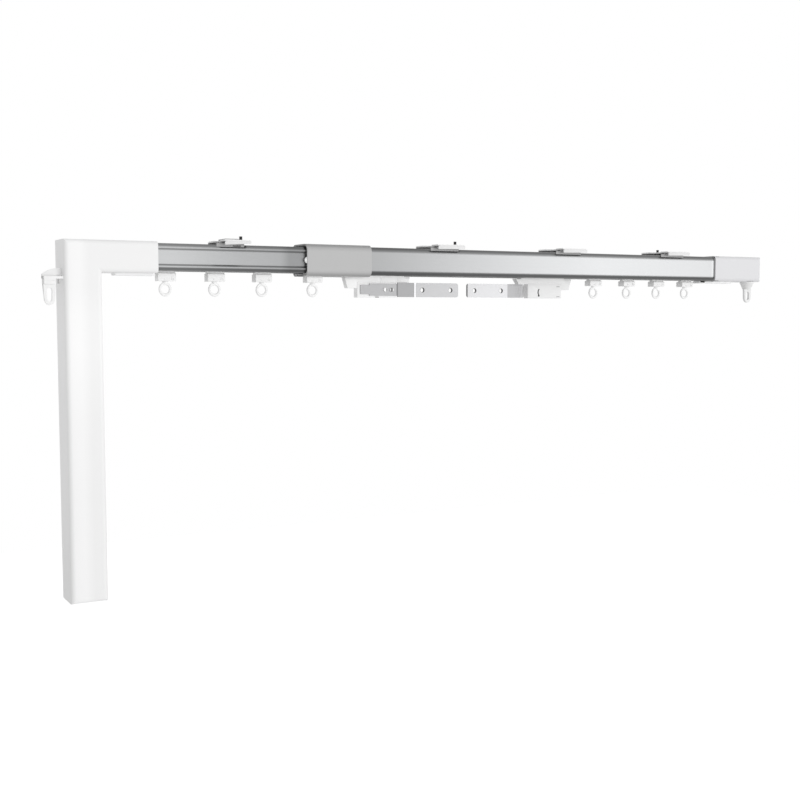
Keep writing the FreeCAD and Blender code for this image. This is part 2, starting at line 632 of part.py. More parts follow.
def make_strip(name, left, length):
    """A flat cover strip against the underside of a box, with rounded corners."""
    half = "strip_width / 2"
    body = new_body(name + "_body")
    right = f"{left} + {length}"
    corners = [(left, f"-{half}"), (right, f"-{half}"), (right, half), (left, half)]
    sketch = outline(body, name + "_outline", "XY_Plane", f"{BOX_LOW} - strip_height", corners)
    solid = pad(body, name + "_pad", sketch, "strip_height")
    rounded(body, name + "_corners", solid, "strip_round", lambda edge: runs_along(edge, "z"))
    keep(name, body)


def make_strips():
    make_strip("drive_box_strip", f"({DRIVE_END} + drive_strip_at)", "drive_strip_length")
    make_strip("end_box_strip", f"({END_LEFT} - end_strip_lead)", "end_strip_length")


def eye_loop(name, along, high, drop):
    """A hanging loop: straight sides, a round bottom and a long hole."""
    front = f"(-{BOX_HALF} + eye_offset - eye_depth / 2)"
    radius = "(eye_width / 2)"
    centre = f"({high} - {drop} + {radius})"
    bar = block(name + "_bar", f"{along} - {radius}", f"{along} + {radius}", front,
                f"{front} + eye_depth", centre, high)
    bend = rod(name + "_bend", "y", radius, along, front, centre, "eye_depth")
    hole = f"({radius} - eye_wire)"
    clear = block(name + "_gap", f"{along} - {hole}", f"{along} + {hole}", f"{front} - tool_reach",
                  f"{front} + eye_depth + tool_reach", centre, f"{high} - eye_wire")
    turn = rod(name + "_gap_end", "y", hole, along, f"{front} - tool_reach", centre,
               "eye_depth + 2 * tool_reach")
    return cut(name + "_loop", join(name + "_solid", [bar, bend]), [clear, turn])


def make_left_eye():
    """A foot and fin on the drive end's outer face, with a block and a loop below."""
    left = f"({DRIVE_END} - foot_length)"
    front = f"(-{BOX_HALF} + foot_front)"
    back = f"({front} + foot_depth)"
    foot = block("left_foot", left, DRIVE_END, front, back, "-foot_top - foot_thick", "-foot_top")
    body = new_body("left_fin_body")
    tip = f"({DRIVE_END} - fin_length)"
    corners = [(DRIVE_END, "-foot_top"), (tip, "-foot_top"), (tip, "-foot_top + fin_tip"),
               (f"{tip} + fin_length / 6", "-foot_top + (fin_tip + fin_height) / 2"),
               (f"{tip} + fin_length / 2", "-foot_top + fin_height"),
               (DRIVE_END, "-foot_top + fin_height")]
    sketch = outline(body, "left_fin_outline", "XZ_Plane", f"-{back}", corners)
    pad(body, "left_fin_pad", sketch, "fin_depth")
    middle = f"({DRIVE_END} - knuckle_at)"
    high = "(-foot_top - foot_thick)"
    knuckle = block("left_knuckle", f"{middle} - knuckle_length / 2", f"{middle} + knuckle_length / 2",
                    front, f"{front} + knuckle_depth", f"{high} - knuckle_height", high)
    loop = eye_loop("left_eye", middle, f"({high} - knuckle_height)", "left_eye_drop")
    keep("left_end_eye", join("left_end_eye_solid", [foot, body, knuckle, loop]))


def make_right_eye():
    """A tapered collar under the end box with a loop below."""
    along = f"({END_RIGHT} - right_eye_setback)"
    collar = doc.addObject("Part::Cone", "right_collar")
    collar.setExpression("Radius1", formula("collar_tip"))
    collar.setExpression("Radius2", formula("collar_radius"))
    collar.setExpression("Height", formula("collar_height"))
    place(collar, along, f"-{BOX_HALF} + eye_offset", f"{BOX_LOW} - collar_height")
    loop = eye_loop("right_eye", along, f"({BOX_LOW} - collar_height)", "right_eye_drop")
    keep("right_end_eye", join("right_end_eye_solid", [collar, loop]))


def make_bracket(number, along, width, top, rail_top):
    """A steel plate over the rail with a hook behind, saddle ribs and a sliding latch in front."""
    name = f"bracket_{number}"
    half = f"({width} / 2)"
    low = f"({top} - bracket_thick)"
    front = f"(-{BRACKET_HALF} + lip_thick + part_gap)"
    back = BRACKET_HALF
    items = [
        block(name + "_front_pad", f"{along} - {half}", f"{along} + {half}", front,
              f"-{BRACKET_HALF} + pad_depth", low, top),
        block(name + "_rear_pad", f"{along} - {half}", f"{along} + {half}", f"{back} - pad_depth", back,
              low, top),
        block(name + "_waist", f"{along} - bracket_waist / 2", f"{along} + bracket_waist / 2", front, back,
              low, top),
        block(name + "_hook", f"{along} - {half}", f"{along} + {half}", f"{back} - lip_thick", back,
              rail_top, low),
    ]
    for side, sign in (("front", -1), ("rear", 1)):
        middle = f"({sign} * rib_spread)"
        items.append(block(f"{name}_{side}_rib", f"{along} - rib_width / 2", f"{along} + rib_width / 2",
                           f"{middle} - rib_thick / 2", f"{middle} + rib_thick / 2", rail_top, low))
    slots = []
    for side, sign in (("front", -1), ("rear", 1)):
        across = f"({sign} * ({BRACKET_HALF} - slot_inset))"
        reach = "((bracket_slot - slot_breadth) / 2)"
        slots.append(block(f"{name}_{side}_slot", f"{along} - {reach}", f"{along} + {reach}",
                           f"{across} - slot_breadth / 2", f"{across} + slot_breadth / 2",
                           f"{low} - tool_reach", f"{top} + tool_reach"))
        for end, way in (("left", -1), ("right", 1)):
            slots.append(rod(f"{name}_{side}_{end}_end", "z", "slot_breadth / 2",
                             f"{along} + {way} * {reach}", across, f"{low} - tool_reach",
                             "bracket_thick + 2 * tool_reach"))
    keep(name + "_plate", cut(name + "_plate_cut", join(name + "_plate_solid", items), slots))
    lip_front = f"(-{BRACKET_HALF})"
    arm_high = f"({low} - run_gap)"
    latch = [block(name + "_lip", f"{along} - {half}", f"{along} + {half}", lip_front,
                   f"{lip_front} + lip_thick", f"{rail_top} - lip_drop", top)]
    for side, left in (("left", f"({along} - {half} + latch_inset)"),
                       ("right", f"({along} + {half} - latch_arm)")):
        latch.append(block(f"{name}_{side}_arm", left, f"{left} + latch_arm", f"{lip_front} + lip_thick",
                           f"{lip_front} + lip_thick + latch_arm_length",
                           f"{arm_high} - latch_arm_thick", arm_high))
    keep(name + "_latch", join(name + "_latch_solid", latch))


def ceiling_screw(name, along, across, top):
    """A screw up through a bracket slot, with its head under the plate."""
    low = f"({top} - bracket_thick)"
    shank = rod(name + "_shank", "z", "screw_radius", along, across, low, "bracket_thick + screw_rise")
    head = rod(name + "_head", "z", "screw_head", along, across, f"{low} - head_thick", "head_thick")
    return join(name, [shank, head])


def make_brackets():
    shim_low = f"({INNER_TOP} + ceiling_gap)"
    make_bracket(1, "0", "narrow_bracket", shim_low, INNER_TOP)
    for number, along in ((2, "bracket_two"), (3, THIRD_BRACKET), (4, FOURTH_BRACKET)):
        make_bracket(number, along, "wide_bracket", "0", OUTER_TOP)
    keep("packing_shim", block("packing_shim", "-shim_length / 2", "shim_length / 2", "-shim_depth / 2",
                               "shim_depth / 2", shim_low, "0"))
    across = f"({BRACKET_HALF} - slot_inset)"
    keep("ceiling_screw_left", ceiling_screw("ceiling_screw_one", "screw_one", f"-{across}", shim_low))
    second = ceiling_screw("ceiling_screw_two", "bracket_two + screw_two", f"-{across}", "0")
    fourth = ceiling_screw("ceiling_screw_four", f"{FOURTH_BRACKET} + screw_four", across, "0")
    keep("ceiling_screws_right", join("ceiling_screws_pair", [second, fourth]))


def make_glider(number, along, floor, rail_low):
    """A glider hangs by its head on the rail's lips; its ring eye turns on a vertical pin."""
    name = f"glider_{number}"
    neck = "(glider_neck / 2)"
    half = "(glider_depth / 2)"
    head = "(head_width / 2)"
    shoulder = f"({rail_low} - glider_drop)"
    head_low = f"({floor} + head_lift)"
    right = [
        (half, "-glider_low"), (half, f"{shoulder} - glider_slope"), (neck, shoulder), (neck, head_low),
        (head, head_low), (head, f"{head_low} + head_height"),
    ]
    body = new_body(name + "_body")
    sketch = outline(body, name + "_profile", "YZ_Plane", f"{along} + glider_lead - glider_length / 2",
                     right + opposite(right)[::-1])
    pad(body, name + "_pad", sketch, "glider_length")
    hole = rod(name + "_hole", "z", "pin_radius + run_gap", along, "0", "-glider_low - tool_reach",
               "pin_length + tool_reach + part_gap")
    keep(name + "_body", cut(name + "_bored", body, [hole]))
    top = "(-glider_low - neck_drop)"
    centre = f"({top} - ring_radius)"
    ring = cut(name + "_band", rod(name + "_disc", "y", "ring_radius", along, "-ring_thick / 2", centre,
                                   "ring_thick"),
               [rod(name + "_opening", "y", "ring_radius - ring_band", along, "-ring_thick / 2 - tool_reach",
                    centre, "ring_thick + 2 * tool_reach")])
    pin_low = f"({top} - ring_band / 2)"
    pin = rod(name + "_pin", "z", "pin_radius", along, "0", pin_low, f"-glider_low + pin_length - {pin_low}")
    collar = doc.addObject("Part::Cone", name + "_collar")
    collar.setExpression("Radius1", formula("pin_radius"))
    collar.setExpression("Radius2", formula("pin_radius + collar_flare"))
    collar.setExpression("Height", formula("neck_drop - part_gap"))
    place(collar, along, "0", top)
    keep(name + "_eye", join(name + "_eye_solid", [ring, pin, collar]))


def make_gliders():
    for number, letter in enumerate("abcdefgh", start=1):
        inner = number <= 4
        floor, low = (INNER_FLOOR, INNER_LOW) if inner else (CAVITY_LOW, OUTER_LOW)
        along = f"glider_{letter}" if inner else f"({END_LEFT} - glider_{letter})"
        make_glider(number, along, floor, low)


def make_master(side, tab, sign, floor):
    """A master carrier: wheels in the rail, a clamp on the belt, a block below and a cranked arm.

    Both are the same pattern; the right one is turned half way round, so u runs from its tab.
    """
    name = f"{side}_master"

    def along(distance):
        return f"({tab} + {sign} * ({distance}))"

    def across(distance):
        return f"({sign} * ({distance}))"

    def piece(label, start, end, front, back, low, high):
        ends = [along(start), along(end)][::sign]
        sides = [across(front), across(back)][::sign]
        return block(f"{name}_{label}", *ends, *sides, low, high)

    high = f"({OUTER_LOW} - carriage_drop)"
    low = f"({high} - carriage_height)"
    tab_low = f"({high} - tab_height)"
    carriage = new_body(name + "_carriage")
    corners = [(along("0"), high), (along("tab_rake"), tab_low), (along("block_at"), tab_low),
               (along("block_at"), low), (along(f"carriage_length - {side}_rake"), low),
               (along("carriage_length"), high)]
    sketch = outline(carriage, name + "_side", "XZ_Plane", "-carriage_depth / 2", corners)
    pad(carriage, name + "_carriage_pad", sketch, "carriage_depth")
    end = "block_at + block_length"
    lower = piece("block", "block_at", end, "-block_depth / 2", "block_depth / 2",
                  f"{low} - block_height", low)
    lower = round_solid(name + "_block_round", lower, "block_round", lambda edge: runs_along(edge, "z"))
    truck_low = f"({floor} + truck_lift)"
    truck_end = "truck_at + truck_length"
    neck = piece("neck", "truck_at", truck_end, "-neck_depth / 2", "neck_depth / 2", high, truck_low)
    truck = piece("truck", "truck_at", truck_end, "-truck_depth / 2", "truck_depth / 2", truck_low,
                  "-truck_top")
    wheel_z = f"({floor} + wheel_radius + run_gap)"
    reach = "(truck_depth / 2 + wheel_gap + wheel_width)"
    holes = []
    for place_name, distance in (("front", "front_axle"), ("rear", "rear_axle")):
        centre = along(f"truck_at + {distance}")
        holes.append(rod(f"{name}_{place_name}_bore", "y", "axle_radius + run_gap", centre,
                         "-truck_depth / 2 - tool_reach", wheel_z, "truck_depth + 2 * tool_reach"))
        axle = rod(f"{name}_{place_name}_axle", "y", "axle_radius", centre, f"-{reach}", wheel_z,
                   f"2 * {reach}")
        wheels = [axle]
        for wheel, start in (("near", f"-{reach}"), ("far", f"{reach} - wheel_width")):
            wheels.append(rod(f"{name}_{place_name}_{wheel}_wheel", "y", "wheel_radius", centre, start,
                              wheel_z, "wheel_width"))
        keep(f"{name}_{place_name}_wheels", join(f"{name}_{place_name}_pair", wheels))
    arm_front = "(-block_depth / 2 - arm_thick)"
    rivets = []
    for order, distance in (("one", "rivet_one"), ("two", "rivet_two")):
        deep = [across(f"{arm_front} - rivet_thick"), across("-block_depth / 2 + rivet_depth")][::sign]
        head = [across(f"{arm_front} - rivet_thick"), across(arm_front)][::sign]
        rivets.append(rod(f"{name}_rivet_{order}", "y", "rivet_radius", along(distance), deep[0],
                          "-arm_middle", f"{deep[1]} - {deep[0]}"))
        rivets.append(rod(f"{name}_rivet_head_{order}", "y", "rivet_head", along(distance), head[0],
                          "-arm_middle", f"{head[1]} - {head[0]}"))
        holes.append(rod(f"{name}_rivet_hole_{order}", "y", "rivet_radius", along(distance), deep[0],
                         "-arm_middle", f"{deep[1]} - {deep[0]}"))
    keep(f"{name}_screws", join(f"{name}_screw_pair", rivets))
    keep(f"{name}_body", cut(f"{name}_body_cut", join(f"{name}_solid", [carriage, lower, neck, truck]),
                             holes))
    rim = "pulley_rim + belt_gap" if sign > 0 else "idler_rim + belt_gap"
    face = f"(-({rim}) + part_gap)"
    upright = piece("clamp_upright", "clamp_at", "clamp_at + clamp_length", face,
                    "-truck_depth / 2 + clamp_thick", "-truck_top", BELT_HIGH)
    keep(f"{name}_belt_clamp", upright)
    make_arm(name, along, across, sign, arm_front)


def make_arm(name, along, across, sign, front):
    """The cranked steel arm: a tongue and plate on the block, a jog and a blade with two holes."""
    jog_start = "(arm_at + mount_plate)"
    jog_end = f"({jog_start} + jog_length)"
    tip = f"({jog_end} + blade_length)"
    blade_front = f"({front} + jog_depth)"
    plan = [
        ("arm_at", front), (jog_start, front), (jog_end, blade_front), (tip, blade_front),
        (tip, f"{blade_front} + arm_thick"), (jog_end, f"{blade_front} + arm_thick"),
        (jog_start, f"{front} + arm_thick"), ("arm_at", f"{front} + arm_thick"),
    ]
    body = new_body(name + "_arm_body")
    corners = [(along(distance), across(depth)) for distance, depth in plan]
    sketch = outline(body, name + "_arm_plan", "XY_Plane", ARM_LOW, corners)
    solid = pad(body, name + "_arm_pad", sketch, "blade_height")
    rounded(body, name + "_arm_corners", solid, "blade_round",
            lambda edge: runs_along(edge, "y") and near(edge.Vertexes[0].Point.x, along(tip)))
    cuts = []
    for label, end, height in (("tongue", "arm_at + tongue_length", "tongue_height"),
                               ("plate", jog_start, "mount_height")):
        ends = [along("arm_at - tool_reach"), along(end)][::sign]
        sides = [across(f"{front} - tool_reach"), across(f"{front} + arm_thick + tool_reach")][::sign]
        half = f"({height} / 2)"
        cuts.append(block(f"{name}_{label}_below", *ends, *sides, f"{ARM_LOW} - tool_reach",
                          f"-arm_middle - {half}"))
        cuts.append(block(f"{name}_{label}_above", *ends, *sides, f"-arm_middle + {half}",
                          f"{ARM_LOW} + blade_height + tool_reach"))
    for order, distance in (("one", "hole_one"), ("two", "hole_two")):
        far_side = f"{blade_front} + arm_thick + tool_reach"
        sides = [across(f"{blade_front} - tool_reach"), across(far_side)][::sign]
        cuts.append(rod(f"{name}_hole_{order}", "y", "hole_radius", along(f"{jog_end} + {distance}"),
                        sides[0], "-arm_middle", f"{sides[1]} - {sides[0]}"))
    for order, distance in (("one", "rivet_one"), ("two", "rivet_two")):
        sides = [across(f"{front} - tool_reach"), across(f"{front} + arm_thick + tool_reach")][::sign]
        cuts.append(rod(f"{name}_arm_rivet_hole_{order}", "y", "rivet_radius", along(distance),
                        sides[0], "-arm_middle", f"{sides[1]} - {sides[0]}"))
    keep(f"{name}_arm", cut(f"{name}_arm_cut", body, cuts))


def check_document():
    doc.recompute()
    failed = [item.Name for item in doc.Objects if "Invalid" in item.State or "Error" in item.State]
    if failed:
        raise RuntimeError(f"objects that failed: {failed}")
    for name, item in pieces.items():
        shape = item.Shape
        if shape.isNull() or not shape.isValid() or not shape.Solids:
            raise RuntimeError(f"{name} has no valid solid")


make_inner_rail()
make_outer_rail()
make_sleeve()
make_drive_casing()
make_rear_cover()
make_drive_inside()
make_drive_train()
make_belts()
make_end_box()
make_strips()
make_left_eye()
make_right_eye()
make_brackets()
make_gliders()
make_master("left", "left_tab", 1, INNER_FLOOR)
make_master("right", f"({END_LEFT} - right_tab)", -1, CAVITY_LOW)
check_document()
os.makedirs("parts", exist_ok=True)
for name, item in pieces.items():
    item.Shape.exportStep(f"parts/{name}.step")
print(len(pieces), "sub-parts")
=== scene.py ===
"""Dressed model of a motorised telescopic ceiling curtain track, laid out as a Blender add-on.

Sizes are in metres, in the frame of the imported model: X runs along the rails, -Y faces the room
and Z is up. Points that read better in millimetres go through mm() or are multiplied by MM.
"""
import json
import math

import bmesh
import bpy
from bpy.props import FloatProperty, FloatVectorProperty, IntProperty, PointerProperty
from bpy.types import Operator, Panel, PropertyGroup
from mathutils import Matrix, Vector


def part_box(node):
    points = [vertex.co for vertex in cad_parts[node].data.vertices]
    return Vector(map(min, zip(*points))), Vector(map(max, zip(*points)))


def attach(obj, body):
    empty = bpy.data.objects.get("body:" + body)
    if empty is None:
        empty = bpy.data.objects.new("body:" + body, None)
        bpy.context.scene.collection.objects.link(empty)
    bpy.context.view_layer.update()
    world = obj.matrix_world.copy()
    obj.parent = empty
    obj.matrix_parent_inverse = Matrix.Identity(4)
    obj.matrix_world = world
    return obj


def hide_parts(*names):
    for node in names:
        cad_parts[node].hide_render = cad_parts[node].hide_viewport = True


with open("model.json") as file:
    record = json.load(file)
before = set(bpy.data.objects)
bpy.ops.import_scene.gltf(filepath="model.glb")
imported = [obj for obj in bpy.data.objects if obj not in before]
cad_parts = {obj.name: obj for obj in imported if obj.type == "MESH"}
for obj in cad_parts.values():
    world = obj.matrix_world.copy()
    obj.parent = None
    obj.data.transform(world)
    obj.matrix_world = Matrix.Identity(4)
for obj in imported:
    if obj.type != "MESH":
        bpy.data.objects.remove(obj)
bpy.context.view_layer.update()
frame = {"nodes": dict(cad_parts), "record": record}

bl_info = {
    "name": "Ceiling curtain track",
    "version": (1, 0, 0),
    "blender": (4, 5, 0),
    "location": "View3D > Sidebar > Curtain track",
    "description": "Builds the looks of a telescopic ceiling curtain track round its packed solids",
    "category": "Object",
}

MM = 0.001
HAIR = 0.01 * MM  # a step that shows nowhere, so that faces overlap or clear each other
X, Y, Z = 0, 1, 2

# Camera and lights
CAMERA_PLACE = (-0.38307, -1.02280, -0.06330)
CAMERA_TURN = (math.radians(85.48), 0, math.radians(-28.82))
SENSOR_WIDTH, LENS = 36, 52.308
WINDOW_SIDE = (0.30, -0.93, -0.04)
SOFTBOX_PLACE, SOFTBOX_AIM = Vector((2.0, -1.55, 0.0)), Vector((0.5, 0, 0))
SOFTBOX_WIDTH = 1.3
WORLD_LIGHT, WORLD_SEEN = 0.62, 1.0

# Sizes that several pieces share
EYE_AXIS = -17.5 * MM + 8.1 * MM  # both end eyes lie 8.1 mm behind the front of the boxes
LOOP_WIDTH, LOOP_WIRE = 11 * MM, 3.1 * MM
ARM_THICK = 1.2 * MM
HOLE_APART = 33 * MM
CARRIER_FRONT = -4.6  # in millimetres, clear of the carriers' front faces


def paint(name, description, default):
    """A colour that the sidebar shows."""
    return FloatVectorProperty(name=name, description=description, subtype="COLOR", size=3,
                               default=default)


class TrackSizes(PropertyGroup):
    soft_edge: FloatProperty(name="Soft edge", description="Rounding of moulded edges",
                             default=0.4 * MM, unit="LENGTH")
    ring_segments: IntProperty(name="Ring segments", description="Faces round a glider's ring",
                               default=48)


class TrackColours(PropertyGroup):
    casing: paint("Casing", "Drive casing", (0.9, 0.9, 0.9))
    end: paint("End box", "Box at the far end", (0.73, 0.73, 0.745))
    moulding: paint("Moulding", "Gliders, eyes and carriers", (0.93, 0.93, 0.93))
    rail: paint("Rail", "Anodised rails", (0.46, 0.465, 0.47))
    sleeve: paint("Sleeve", "Joint sleeve", (0.5, 0.5, 0.5))
    plate: paint("Plated steel", "Carrier arms", (0.6, 0.6, 0.61))
    plating: paint("Zinc", "Bracket plates", (0.92, 0.92, 0.92))


def sizes():
    return bpy.context.scene.track_sizes


def colours():
    return bpy.context.scene.track_colours


def mm(*places):
    """A point given in millimetres."""
    return tuple(place * MM for place in places)


# Modelling moves

def clear_selection():
    if bpy.context.object and bpy.context.object.mode != "OBJECT":
        bpy.ops.object.mode_set(mode="OBJECT")
    bpy.ops.object.select_all(action="DESELECT")


def choose(piece):
    clear_selection()
    piece.select_set(True)
    bpy.context.view_layer.objects.active = piece


def settle(piece):
    """Put the piece's place, turn and scale into its mesh."""
    choose(piece)
    bpy.ops.object.transform_apply(location=True, rotation=True, scale=True)
    return piece


def rename(piece, name):
    piece.name = name
    piece.data.name = name


def named(name):
    """Name the new piece and settle it."""
    rename(bpy.context.object, name)
    return settle(bpy.context.object)


def select_parts(piece, kind, wanted):
    """Select in edit mode the faces or edges that a test picks out."""
    bpy.ops.mesh.select_mode(type=kind)
    mesh = bmesh.from_edit_mesh(piece.data)
    for group in (mesh.faces, mesh.edges, mesh.verts):
        for item in group:
            item.select = False
    for item in mesh.faces if kind == "FACE" else mesh.edges:
        if wanted(item):
            item.select_set(True)
    mesh.select_flush_mode()
    bmesh.update_edit_mesh(piece.data)


def edit(piece):
    choose(piece)
    bpy.ops.object.mode_set(mode="EDIT")


def finish_edit():
    bpy.ops.object.mode_set(mode="OBJECT")


def finish_solid():
    """Turn every face of a closed shape outwards and leave edit mode."""
    bpy.ops.mesh.select_all(action="SELECT")
    bpy.ops.mesh.normals_make_consistent(inside=False)
    finish_edit()


def every(item):
    return True


def upward(face):
    return face.normal.z > 0.99


def middle_of(edge):
    return (edge.verts[0].co + edge.verts[1].co) / 2


def runs(edge, axis):
    step = edge.verts[1].co - edge.verts[0].co
    return abs(step[axis]) > 0.999 * step.length


def extrude(step):
    bpy.ops.mesh.extrude_region_move(TRANSFORM_OT_translate={"value": step})


def bevel_edges(piece, wanted, width, segments):
    edit(piece)
    select_parts(piece, "EDGE", wanted)
    bpy.ops.mesh.bevel(offset=width, segments=segments, affect="EDGES")
    finish_edit()


def soften(piece, share=1, segments=2, angle=40):
    """A share of the soft edge on every sharp edge, and smooth shading between the faces."""
    choose(piece)
    bevel = piece.modifiers.new("soft_edges", "BEVEL")
    bevel.width = share * sizes().soft_edge
    bevel.segments = segments
    bevel.limit_method = "ANGLE"
    bevel.angle_limit = math.radians(angle)
    bevel.harden_normals = False
    bpy.ops.object.modifier_apply(modifier=bevel.name)
    smooth(angle)


def smooth(angle):
    bpy.ops.object.shade_smooth_by_angle(angle=math.radians(angle))


def block(name, low, high):
    low, high = Vector(low), Vector(high)
    clear_selection()
    bpy.ops.mesh.primitive_cube_add(size=1, location=(low + high) / 2, scale=high - low)
    return named(name)


def push(piece, wanted, step, scale=None):
    """Extrude chosen faces by a step, then scale them about their middle."""
    edit(piece)
    select_parts(piece, "FACE", wanted)
    extrude(step)
    if scale:
        mesh = bmesh.from_edit_mesh(piece.data)
        points = [face.calc_center_median() for face in mesh.faces if face.select]
        centre = sum(points, Vector()) / len(points)
        bpy.ops.transform.resize(value=scale, center_override=centre)
    finish_edit()


def turned(name, start, axis, rings, segments=32):
    """A round piece grown ring by ring along Y or Z; each ring is a radius and a distance.

    A start off the axis and a distance along it add up, so either may carry the piece's place.
    """
    clear_selection()
    radius, reached = rings[0]
    bpy.ops.mesh.primitive_circle_add(vertices=segments, radius=radius, fill_type="NGON",
                                      location=(0, 0, reached))
    piece = named(name)
    edit(piece)
    select_parts(piece, "FACE", every)
    for wide, height in rings[1:]:
        extrude((0, 0, height - reached))
        bpy.ops.transform.resize(value=(wide / radius, wide / radius, 1),
                                 center_override=(0, 0, height))
        radius, reached = wide, height
    finish_solid()
    piece.rotation_euler = (-math.pi / 2 if axis == Y else 0, 0, 0)
    piece.location = start
    return settle(piece)


def disc(name, start, radius, length, segments):
    return turned(name, start, Y, [(radius, 0), (radius, length)], segments)


def prism(name, corners, front, back):
    """An outline of (x, z) corners extruded from the front to the back."""
    clear_selection()
    bpy.ops.mesh.primitive_circle_add(vertices=len(corners), radius=1, fill_type="NGON",
                                      rotation=(math.pi / 2, 0, 0))
    piece = named(name)
    for vertex, (along, up) in zip(piece.data.vertices, corners):
        vertex.co = (along, front, up)
    edit(piece)
    select_parts(piece, "FACE", every)
    extrude((0, back - front, 0))
    finish_solid()
    return piece


def combine(piece, tool, operation="DIFFERENCE"):
    """Cut a tool away from a piece, or add it, with a boolean modifier that is then applied."""
    choose(piece)
    change = piece.modifiers.new(operation.lower(), "BOOLEAN")
    change.object = tool
    change.operation = operation
    change.solver = "EXACT"
    bpy.ops.object.modifier_apply(modifier=change.name)
    bpy.data.objects.remove(tool)
    return piece


def gather(name, pieces):
    """Join separate shapes into one piece."""
    clear_selection()
    for piece in pieces:
        piece.select_set(True)
    bpy.context.view_layer.objects.active = pieces[0]
    bpy.ops.object.join()
    return named(name)


def copied(source, name, step):
    choose(source)
    bpy.ops.object.duplicate()
    bpy.context.object.location = step
    return named(name)


def dress(piece, finish, slot, body, *nodes):
    """Give a piece its finish, the body it rides on and the solids it stands for; the slot is not
    used.
    """
    piece.data.materials.clear()
    piece.data.materials.append(finish)
    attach(piece, body)
    if nodes:
        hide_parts(*nodes)


def cover(finish, *nodes):
    """Put a finish on solids that are shown as they are."""
    for node in nodes:
        mesh = frame["nodes"][node].data
        mesh.materials.clear()
        mesh.materials.append(finish)


# Materials

def feed(tree, value, socket):
    """Set a socket to a number, or link another node's output to it."""
    if isinstance(value, (int, float)):
        socket.default_value = value
    else:
        tree.links.new(value, socket)


def arithmetic(tree, operation, first, second):
    node = tree.nodes.new("ShaderNodeMath")
    node.operation = operation
    feed(tree, first, node.inputs[0])
    feed(tree, second, node.inputs[1])
    return node.outputs[0]


def new_group(name, inputs, outputs):
    group = bpy.data.node_groups.new(name, "ShaderNodeTree")
    for label, default in inputs:
        socket = group.interface.new_socket(name=label, in_out="INPUT",
                                            socket_type="NodeSocketFloat")
        socket.default_value = default
    for label in outputs:
        group.interface.new_socket(name=label, in_out="OUTPUT", socket_type="NodeSocketFloat")
    return group, group.nodes.new("NodeGroupInput"), group.nodes.new("NodeGroupOutput")


def stretched_noise(tree, stretch, scale, detail):
    """Noise on object coordinates, stretched by a factor on each axis."""
    coordinates = tree.nodes.new("ShaderNodeTexCoord")
    mapping = tree.nodes.new("ShaderNodeMapping")
    mapping.inputs["Scale"].default_value = stretch
    noise = tree.nodes.new("ShaderNodeTexNoise")
    noise.inputs["Detail"].default_value = detail
    feed(tree, scale, noise.inputs["Scale"])
    tree.links.new(coordinates.outputs["Object"], mapping.inputs["Vector"])
    tree.links.new(mapping.outputs["Vector"], noise.inputs["Vector"])
    return noise.outputs["Fac"]


def swing(tree, noise, amount):
    """Noise about zero, times an amount."""
    centred = arithmetic(tree, "SUBTRACT", noise, 0.5)
    return arithmetic(tree, "MULTIPLY", centred, amount)


def grain_group():
    """Fine grain of a moulded or coated surface: a height and a slow change of tone."""
    group, inside, outside = new_group("moulded_grain", [("Size", 1800.0), ("Clouding", 0.02)],
                                       ["Height", "Tone"])
    fine = stretched_noise(group, (1, 1, 1), inside.outputs["Size"], 3)
    slow = stretched_noise(group, (1, 1, 1), 14, 4)
    change = swing(group, slow, inside.outputs["Clouding"])
    group.links.new(fine, outside.inputs["Height"])
    group.links.new(arithmetic(group, "ADD", change, 1.0), outside.inputs["Tone"])
    return group


def drawn_group():
    """Lines that an extrusion press or a rolling mill leaves along X."""
    group, inside, outside = new_group("drawn_lines", [("Fineness", 900.0), ("Contrast", 0.03)],
                                       ["Height", "Tone", "Gloss"])
    lines = stretched_noise(group, (0.004, 1, 1), inside.outputs["Fineness"], 4)
    change = swing(group, lines, inside.outputs["Contrast"])
    group.links.new(lines, outside.inputs["Height"])
    group.links.new(arithmetic(group, "ADD", change, 1.0), outside.inputs["Tone"])
    group.links.new(change, outside.inputs["Gloss"])
    return group


GROUPS = {}
FINISHES = {}


def shared(name):
    if name not in GROUPS:
        GROUPS[name] = {"grain": grain_group, "drawn": drawn_group}[name]()
    return GROUPS[name]


def toned(tree, colour_socket, tone_socket):
    """Multiply a colour by a tone."""
    mix = tree.nodes.new("ShaderNodeMix")
    mix.data_type = "RGBA"
    mix.blend_type = "MULTIPLY"
    mix.inputs["Factor"].default_value = 1
    tree.links.new(colour_socket, mix.inputs[6])
    tree.links.new(tone_socket, mix.inputs[7])
    return mix.outputs[2]


def banded(tree, axis, stops):
    """Tones that lie at set places along an axis of the object, each stop a place and a grey."""
    coordinates = tree.nodes.new("ShaderNodeTexCoord")
    split = tree.nodes.new("ShaderNodeSeparateXYZ")
    spread = tree.nodes.new("ShaderNodeMapRange")
    ramp = tree.nodes.new("ShaderNodeValToRGB")
    low, high = stops[0][0], stops[-1][0]
    spread.inputs["From Min"].default_value = low
    spread.inputs["From Max"].default_value = high
    entries = ramp.color_ramp.elements
    for index, (place, grey) in enumerate(stops):
        share = (place - low) / (high - low)
        entry = entries[index] if index < 2 else entries.new(share)
        entry.position = share
        entry.color = (grey, grey, grey, 1)
    tree.links.new(coordinates.outputs["Object"], split.inputs[0])
    tree.links.new(split.outputs[axis], spread.inputs["Value"])
    tree.links.new(spread.outputs[0], ramp.inputs["Fac"])
    return ramp.outputs["Color"]


def stops_mm(*stops):
    """Tone stops whose places are given in millimetres."""
    return [(place * MM, grey) for place, grey in stops]


def stops_between(node, axis, from_low, from_high=()):
    """Tone stops along a solid, by their distance in millimetres from its low or high side."""
    low, high = (corner[axis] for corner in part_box(node))
    return ([(low + place * MM, grey) for place, grey in from_low]
            + [(high - place * MM, grey) for place, grey in from_high])


